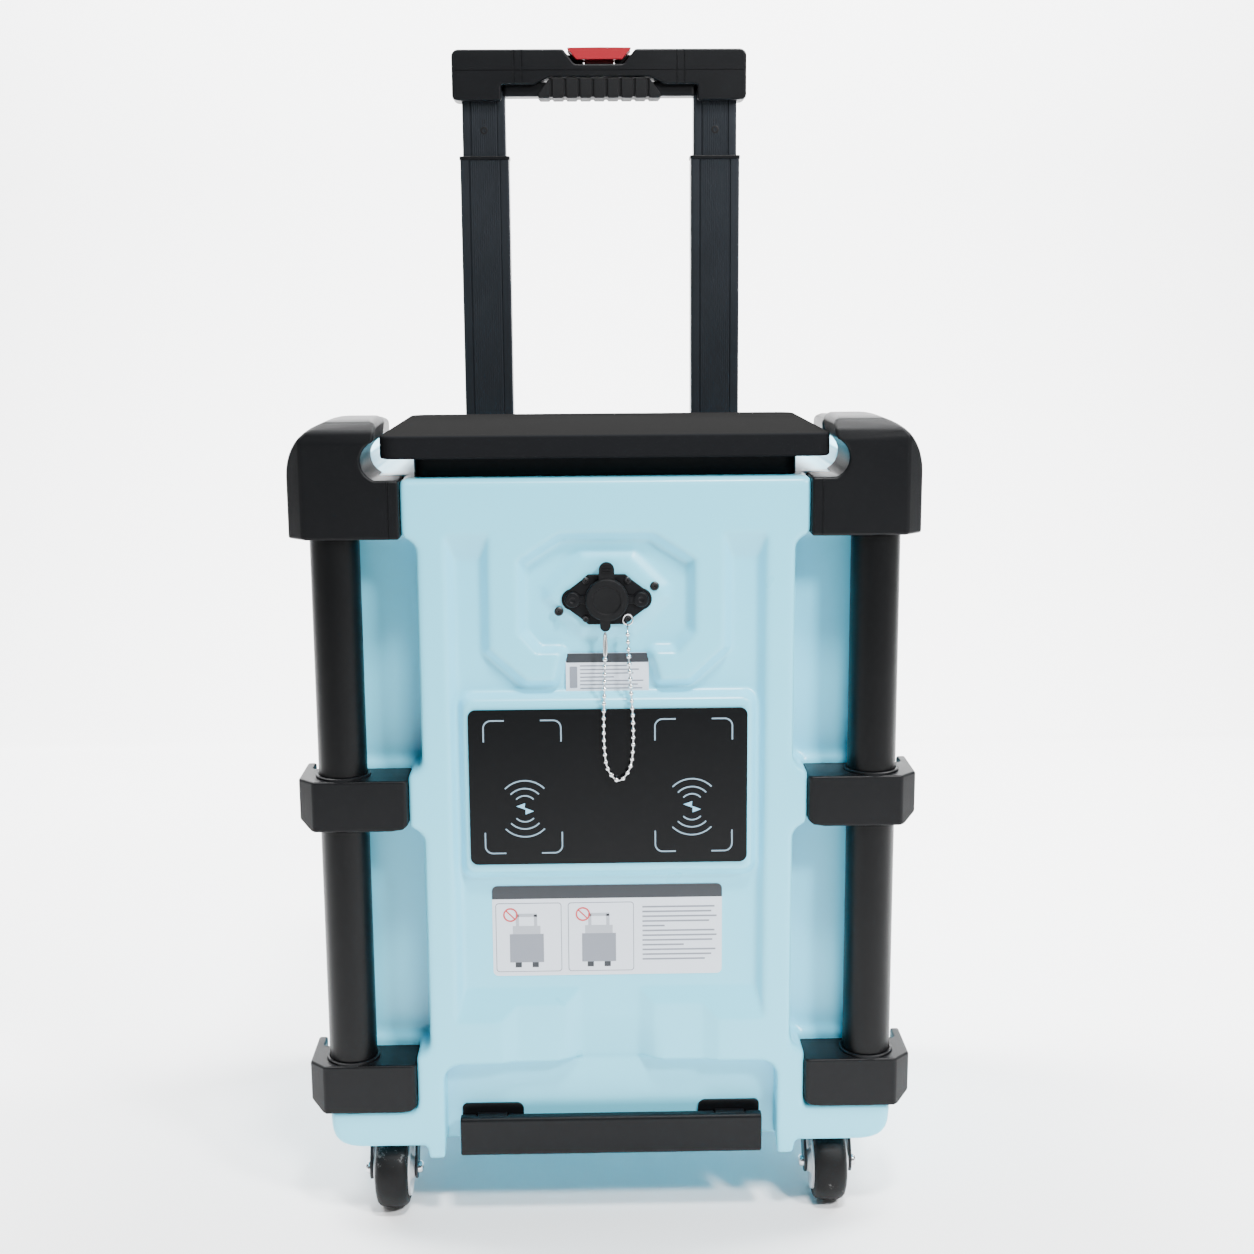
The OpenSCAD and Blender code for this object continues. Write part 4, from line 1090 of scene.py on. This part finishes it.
class SPEAKER_OT_side_drivers(bpy.types.Operator):
    """Make the perforated side grilles and the woofer cones behind them"""

    bl_idname = "speaker.side_drivers"
    bl_label = "Side drivers"

    def execute(self, context):
        s = settings("drivers")
        pitch = s.hole_pitch * 1000 * 1
        outer = pitch / math.sqrt(3)
        inner = outer - s.web * 500 / math.cos(math.radians(30))
        sheet = Shape()
        rows = int(374 / (pitch * math.sqrt(3) / 2))
        hexagon = [(math.cos(math.radians(60 * k + 30)), math.sin(math.radians(60 * k + 30))) for k in range(6)]
        for row in range(rows + 1):
            z = 422 + (row - rows / 2) * pitch * math.sqrt(3) / 2
            for col in range(-20, 21):
                y = (col + 0.5 * (row % 2)) * pitch
                corner = math.hypot(max(abs(y) - 101, 0), max(abs(z - 422) - 169, 0))
                if abs(y) > 119 or abs(z - 422) > 187 or corner > 19:
                    continue
                verts = [(x, y + r * a, z + r * b)
                         for x in (273.4, 274.8) for r in (outer, inner) for a, b in hexagon]
                faces = []
                for k in range(6):
                    m = (k + 1) % 6
                    faces += [[k, m, 6 + m, 6 + k], [12 + k, 18 + k, 18 + m, 12 + m], [6 + k, 6 + m, 18 + m, 18 + k]]
                sheet.add(verts, faces)
        rim = round_rect((0, 422), 244, 380, 20, 9)
        opening = Shape().prism(round_rect((0, 422), 232, 368, 14, 9), "x", 260, 290)
        border = Shape().prism(rim, "x", 272.6, 275.6)
        surround = [(78, 262)] + [(84 - 6 * math.cos(a), 262 + 5 * math.sin(a)) for a in np.linspace(0.3, math.pi, 9)]
        cone = [(0, 241), (9, 240), (17, 236.5), (24, 231.5), (52, 246), (78, 263)] + surround[1:]
        cone += [(91, 261.6), (78, 260.8), (52, 244.6), (24, 229.5), (0, 235)]
        for name, sx in (("left", -1), ("right", 1)):
            obj = raw_object("grille_" + name + "_sheet", sheet.at(sx))
            bm = bmesh.new()
            bm.from_mesh(obj.data)
            bmesh.ops.remove_doubles(bm, verts=bm.verts, dist=2e-6)
            bmesh.ops.recalc_face_normals(bm, faces=bm.faces)
            bm.to_mesh(obj.data)
            bm.free()
            obj.data.materials.append(finish("grille"))
            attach(obj, "cabinet")
            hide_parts("grille_" + name)
            piece("grille_" + name + "_border", border.at(sx), ["grille"], bevel=0.8, cuts=[opening.at(sx)])
            piece("woofer_cone_" + name + "_surface", Shape().lathe(cone, "x", (0, 0, 340), 72).at(sx), ["cone"],
                  "woofer_cone_" + name, parts=["woofer_cone_" + name])
        return {"FINISHED"}


def knob_shape(centre, radius, ribs):
    """A knob with a ribbed skirt, a soft rim and a pointer."""
    outline = []
    for k in range(ribs * 4):
        a = 2 * math.pi * k / (ribs * 4)
        r = radius - (0.0, 0.0, 0.7, 0.7)[k % 4]
        outline.append((centre[0] + r * math.cos(a), centre[1] + r * math.sin(a)))
    shape = Shape().prism(outline, "y", 183.6, 192)
    top = [(0, 194.6), (radius * 0.66, 194.7), (radius * 0.8, 194.9), (radius * 0.9, 194.2), (radius * 0.93, 191),
           (0, 191)]
    shape.lathe(top, "y", (centre[0], 0, centre[1]), 48)
    shape.lathe([(0, 174), (3, 174), (3, 184), (0, 184)], "y", (centre[0], 0, centre[1]), 20)
    low, high = centre[1] + radius * 0.3, centre[1] + radius * 0.86
    shape.box((centre[0] - 0.7, 194, low), (centre[0] + 0.7, 195.1, high), 1)
    return shape


class SPEAKER_OT_controls(bpy.types.Operator):
    """Make the control panel with its display, knobs and buttons"""

    bl_idname = "speaker.controls"
    bl_label = "Controls"

    def execute(self, context):
        ribs = settings("drivers").knob_ribs
        panel = Shape().prism(round_rect((0, 610), 171.4, 123.4, 7.7), "y", 180.1, 183)
        cuts = []
        for (x, z), r in (((-48, 632), 3.05), ((-48, 584), 3.05), ((8, 576), 8.1), ((34, 576), 8.1),
                          ((60, 576), 8.1)):
            cuts.append(Shape().lathe([(0, 175), (r, 175), (r, 190), (0, 190)], "y", (x, 0, z), 32))
        piece("control_panel_surface", panel, ["black_plastic"], bevel=0.8, cuts=cuts, parts=["control_panel"])
        dial = Shape()
        for (cx, cz), r, marks in (((-48, 632), 23, 15), ((-48, 584), 15.5, 11)):
            for k in range(marks):
                a = math.radians(230 - 280 * k / (marks - 1))
                points = [(cx + q * math.cos(a), cz + q * math.sin(a)) for q in (r, r + 2.4)]
                dial.join(ribbon(points, 0.9, 182.9, 183.25))
        piece("control_panel_marks", dial, ["print"])
        piece("volume_knob_surface", knob_shape((-48, 632), 19, ribs), ["knob", "print"], "volume_knob",
              parts=["volume_knob"])
        piece("tone_knob_surface", knob_shape((-48, 584), 12, ribs * 2 // 3), ["knob", "print"], "tone_knob",
              parts=["tone_knob"])
        for name, x in (("power_button", 60), ("play_button", 34), ("pair_button", 8)):
            dome = [(0, 185.4), (4.6, 185.5), (6.4, 186), (7.3, 185.8), (7.7, 185), (7.7, 179), (0, 179)]
            piece(name + "_surface", Shape().lathe(dome, "y", (x, 0, 576), 36), ["button"], name, parts=[name])
        window = Shape().prism(round_rect((34, 630), 72, 30, 4), "y", 183, 184.2)
        piece("display_window_surface", window, ["display"], bevel=0.4, parts=["display_window"])
        bars = Shape()
        for k in range(12):
            tall = 3 + 11 * abs(math.sin(1.3 * k + 0.6))
            bars.box((6 + k * 4.8, 184.1, 621), (9 + k * 4.8, 184.35, 621 + tall))
        piece("display_window_bars", bars, ["lit"])
        return {"FINISHED"}


# ---------- stage ----------


class SPEAKER_OT_stage(bpy.types.Operator):
    """Make the camera, the floor and the lights"""

    bl_idname = "speaker.stage"
    bl_label = "Stage"

    def execute(self, context):
        s = settings("stage")
        data = bpy.data.cameras.new("Camera")
        data.lens, data.sensor_width, data.clip_start, data.clip_end = s.lens, 36.0, 0.05, 60.0
        camera = bpy.data.objects.new("Camera", data)
        level = math.cos(s.pitch)
        forward = Vector((math.sin(s.yaw) * level, math.cos(s.yaw) * level, -math.sin(s.pitch)))
        right = Vector((math.cos(s.yaw), -math.sin(s.yaw), 0))
        up = right.cross(forward)
        across = math.cos(s.roll) * right - math.sin(s.roll) * up
        above = math.sin(s.roll) * right + math.cos(s.roll) * up
        turn = Matrix((across, above, -forward)).transposed().to_4x4()
        camera.matrix_world = Matrix.Translation(s.camera) @ turn
        context.scene.collection.objects.link(camera)
        context.scene.camera = camera

        section = [(-5000, -0.5), (1600, -0.5)] + arc((1600, 1199.5), 1200, -90, 0, 24) + [(2800, 6000), (2830, 6000)]
        section += [(2830, -30), (-5000, -30)]
        sweep = raw_object("backdrop", Shape().prism(section, "x", -6500, 6500))
        for polygon in sweep.data.polygons:
            polygon.use_smooth = True
        pale = surface("backdrop", (0.93, 0.93, 0.935), 0.7, grain=60.0, bump=0.02, mottle=0.004)
        sweep.data.materials.append(pale)

        world = bpy.data.worlds.new("Surroundings")
        world.use_nodes = True
        world.node_tree.nodes["Background"].inputs["Color"].default_value = (1, 1, 1, 1)
        world.node_tree.nodes["Background"].inputs["Strength"].default_value = s.world
        context.scene.world = world
        lights = (
            ("Key", s.key * 0.9, (1.6, -2.0, 2.4), (0, 0, 0.5), 0.4, 0.4),
            ("Top", s.key * 0.9, (0.3, -1.35, 3.15), (0, 0, 0.5), 0.4, 0.4),
            ("Fill", s.fill, (-2.3, -1.5, 1.1), (0, 0, 0.5), 0.9, 1.8),
            ("Strip", s.fill * 0.7, (2.2, -0.9, 0.9), (0, 0, 0.5), 0.35, 1.8),
            ("Wall", s.wall, (-1.6, 0.6, 3.2), (-0.8, 2.8, 0.6), 2.5, 1.0),
            ("Wall right", s.wall, (1.6, 0.6, 3.2), (0.8, 2.8, 0.6), 2.5, 1.0),
        )
        for name, power, spot, aim, wide, tall in lights:
            lamp = bpy.data.lights.new(name, "AREA")
            lamp.energy, lamp.shape, lamp.size, lamp.size_y = power, "RECTANGLE", wide, tall
            obj = bpy.data.objects.new(name, lamp)
            obj.location = spot
            obj.rotation_mode = "QUATERNION"
            obj.rotation_quaternion = (Vector(aim) - Vector(spot)).to_track_quat("-Z", "Y")
            context.scene.collection.objects.link(obj)
        return {"FINISHED"}


class SPEAKER_PT_pieces(bpy.types.Panel):
    """Lists the pieces of the speaker"""

    bl_idname = "SPEAKER_PT_pieces"
    bl_label = "Party speaker"
    bl_space_type = "VIEW_3D"
    bl_region_type = "UI"
    bl_category = "Speaker"

    def draw(self, context):
        for group in GROUPS:
            box = self.layout.box()
            data = getattr(context.scene, group)
            for name in data.__annotations__:
                box.prop(data, name)
        for operator in OPERATORS:
            self.layout.operator(operator.bl_idname)


OPERATORS = (
    SPEAKER_OT_stage,
    SPEAKER_OT_cabinet,
    SPEAKER_OT_roll_cage,
    SPEAKER_OT_tray,
    SPEAKER_OT_trolley,
    SPEAKER_OT_grip,
    SPEAKER_OT_charging_panel,
    SPEAKER_OT_inlet,
    SPEAKER_OT_labels,
    SPEAKER_OT_lift_bar,
    SPEAKER_OT_casters,
    SPEAKER_OT_side_drivers,
    SPEAKER_OT_controls,
)


def register():
    for cls in (*GROUPS.values(), *OPERATORS, SPEAKER_PT_pieces):
        bpy.utils.register_class(cls)
    for name, cls in GROUPS.items():
        setattr(bpy.types.Scene, name, PointerProperty(type=cls))


def unregister():
    for name in GROUPS:
        delattr(bpy.types.Scene, name)
    for cls in reversed((*GROUPS.values(), *OPERATORS, SPEAKER_PT_pieces)):
        bpy.utils.unregister_class(cls)


CARRIED = {
    "trolley_sleeves": "black_plastic",
    "woofer_left": "driver_frame",
    "woofer_right": "driver_frame",
    "tweeter_left": "black_plastic",
    "tweeter_right": "black_plastic",
    "amplifier_board": "circuit_board",
    "battery_pack": "battery",
    "charging_coils": "copper",
}


def main():
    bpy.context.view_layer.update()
    register()
    for operator in OPERATORS:
        group, name = operator.bl_idname.split(".")
        getattr(getattr(bpy.ops, group), name)()
    for name, slot in CARRIED.items():
        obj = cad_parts[name]
        obj.data.materials.clear()
        obj.data.materials.append(finish(slot))


if __name__ == "__main__":
    main()
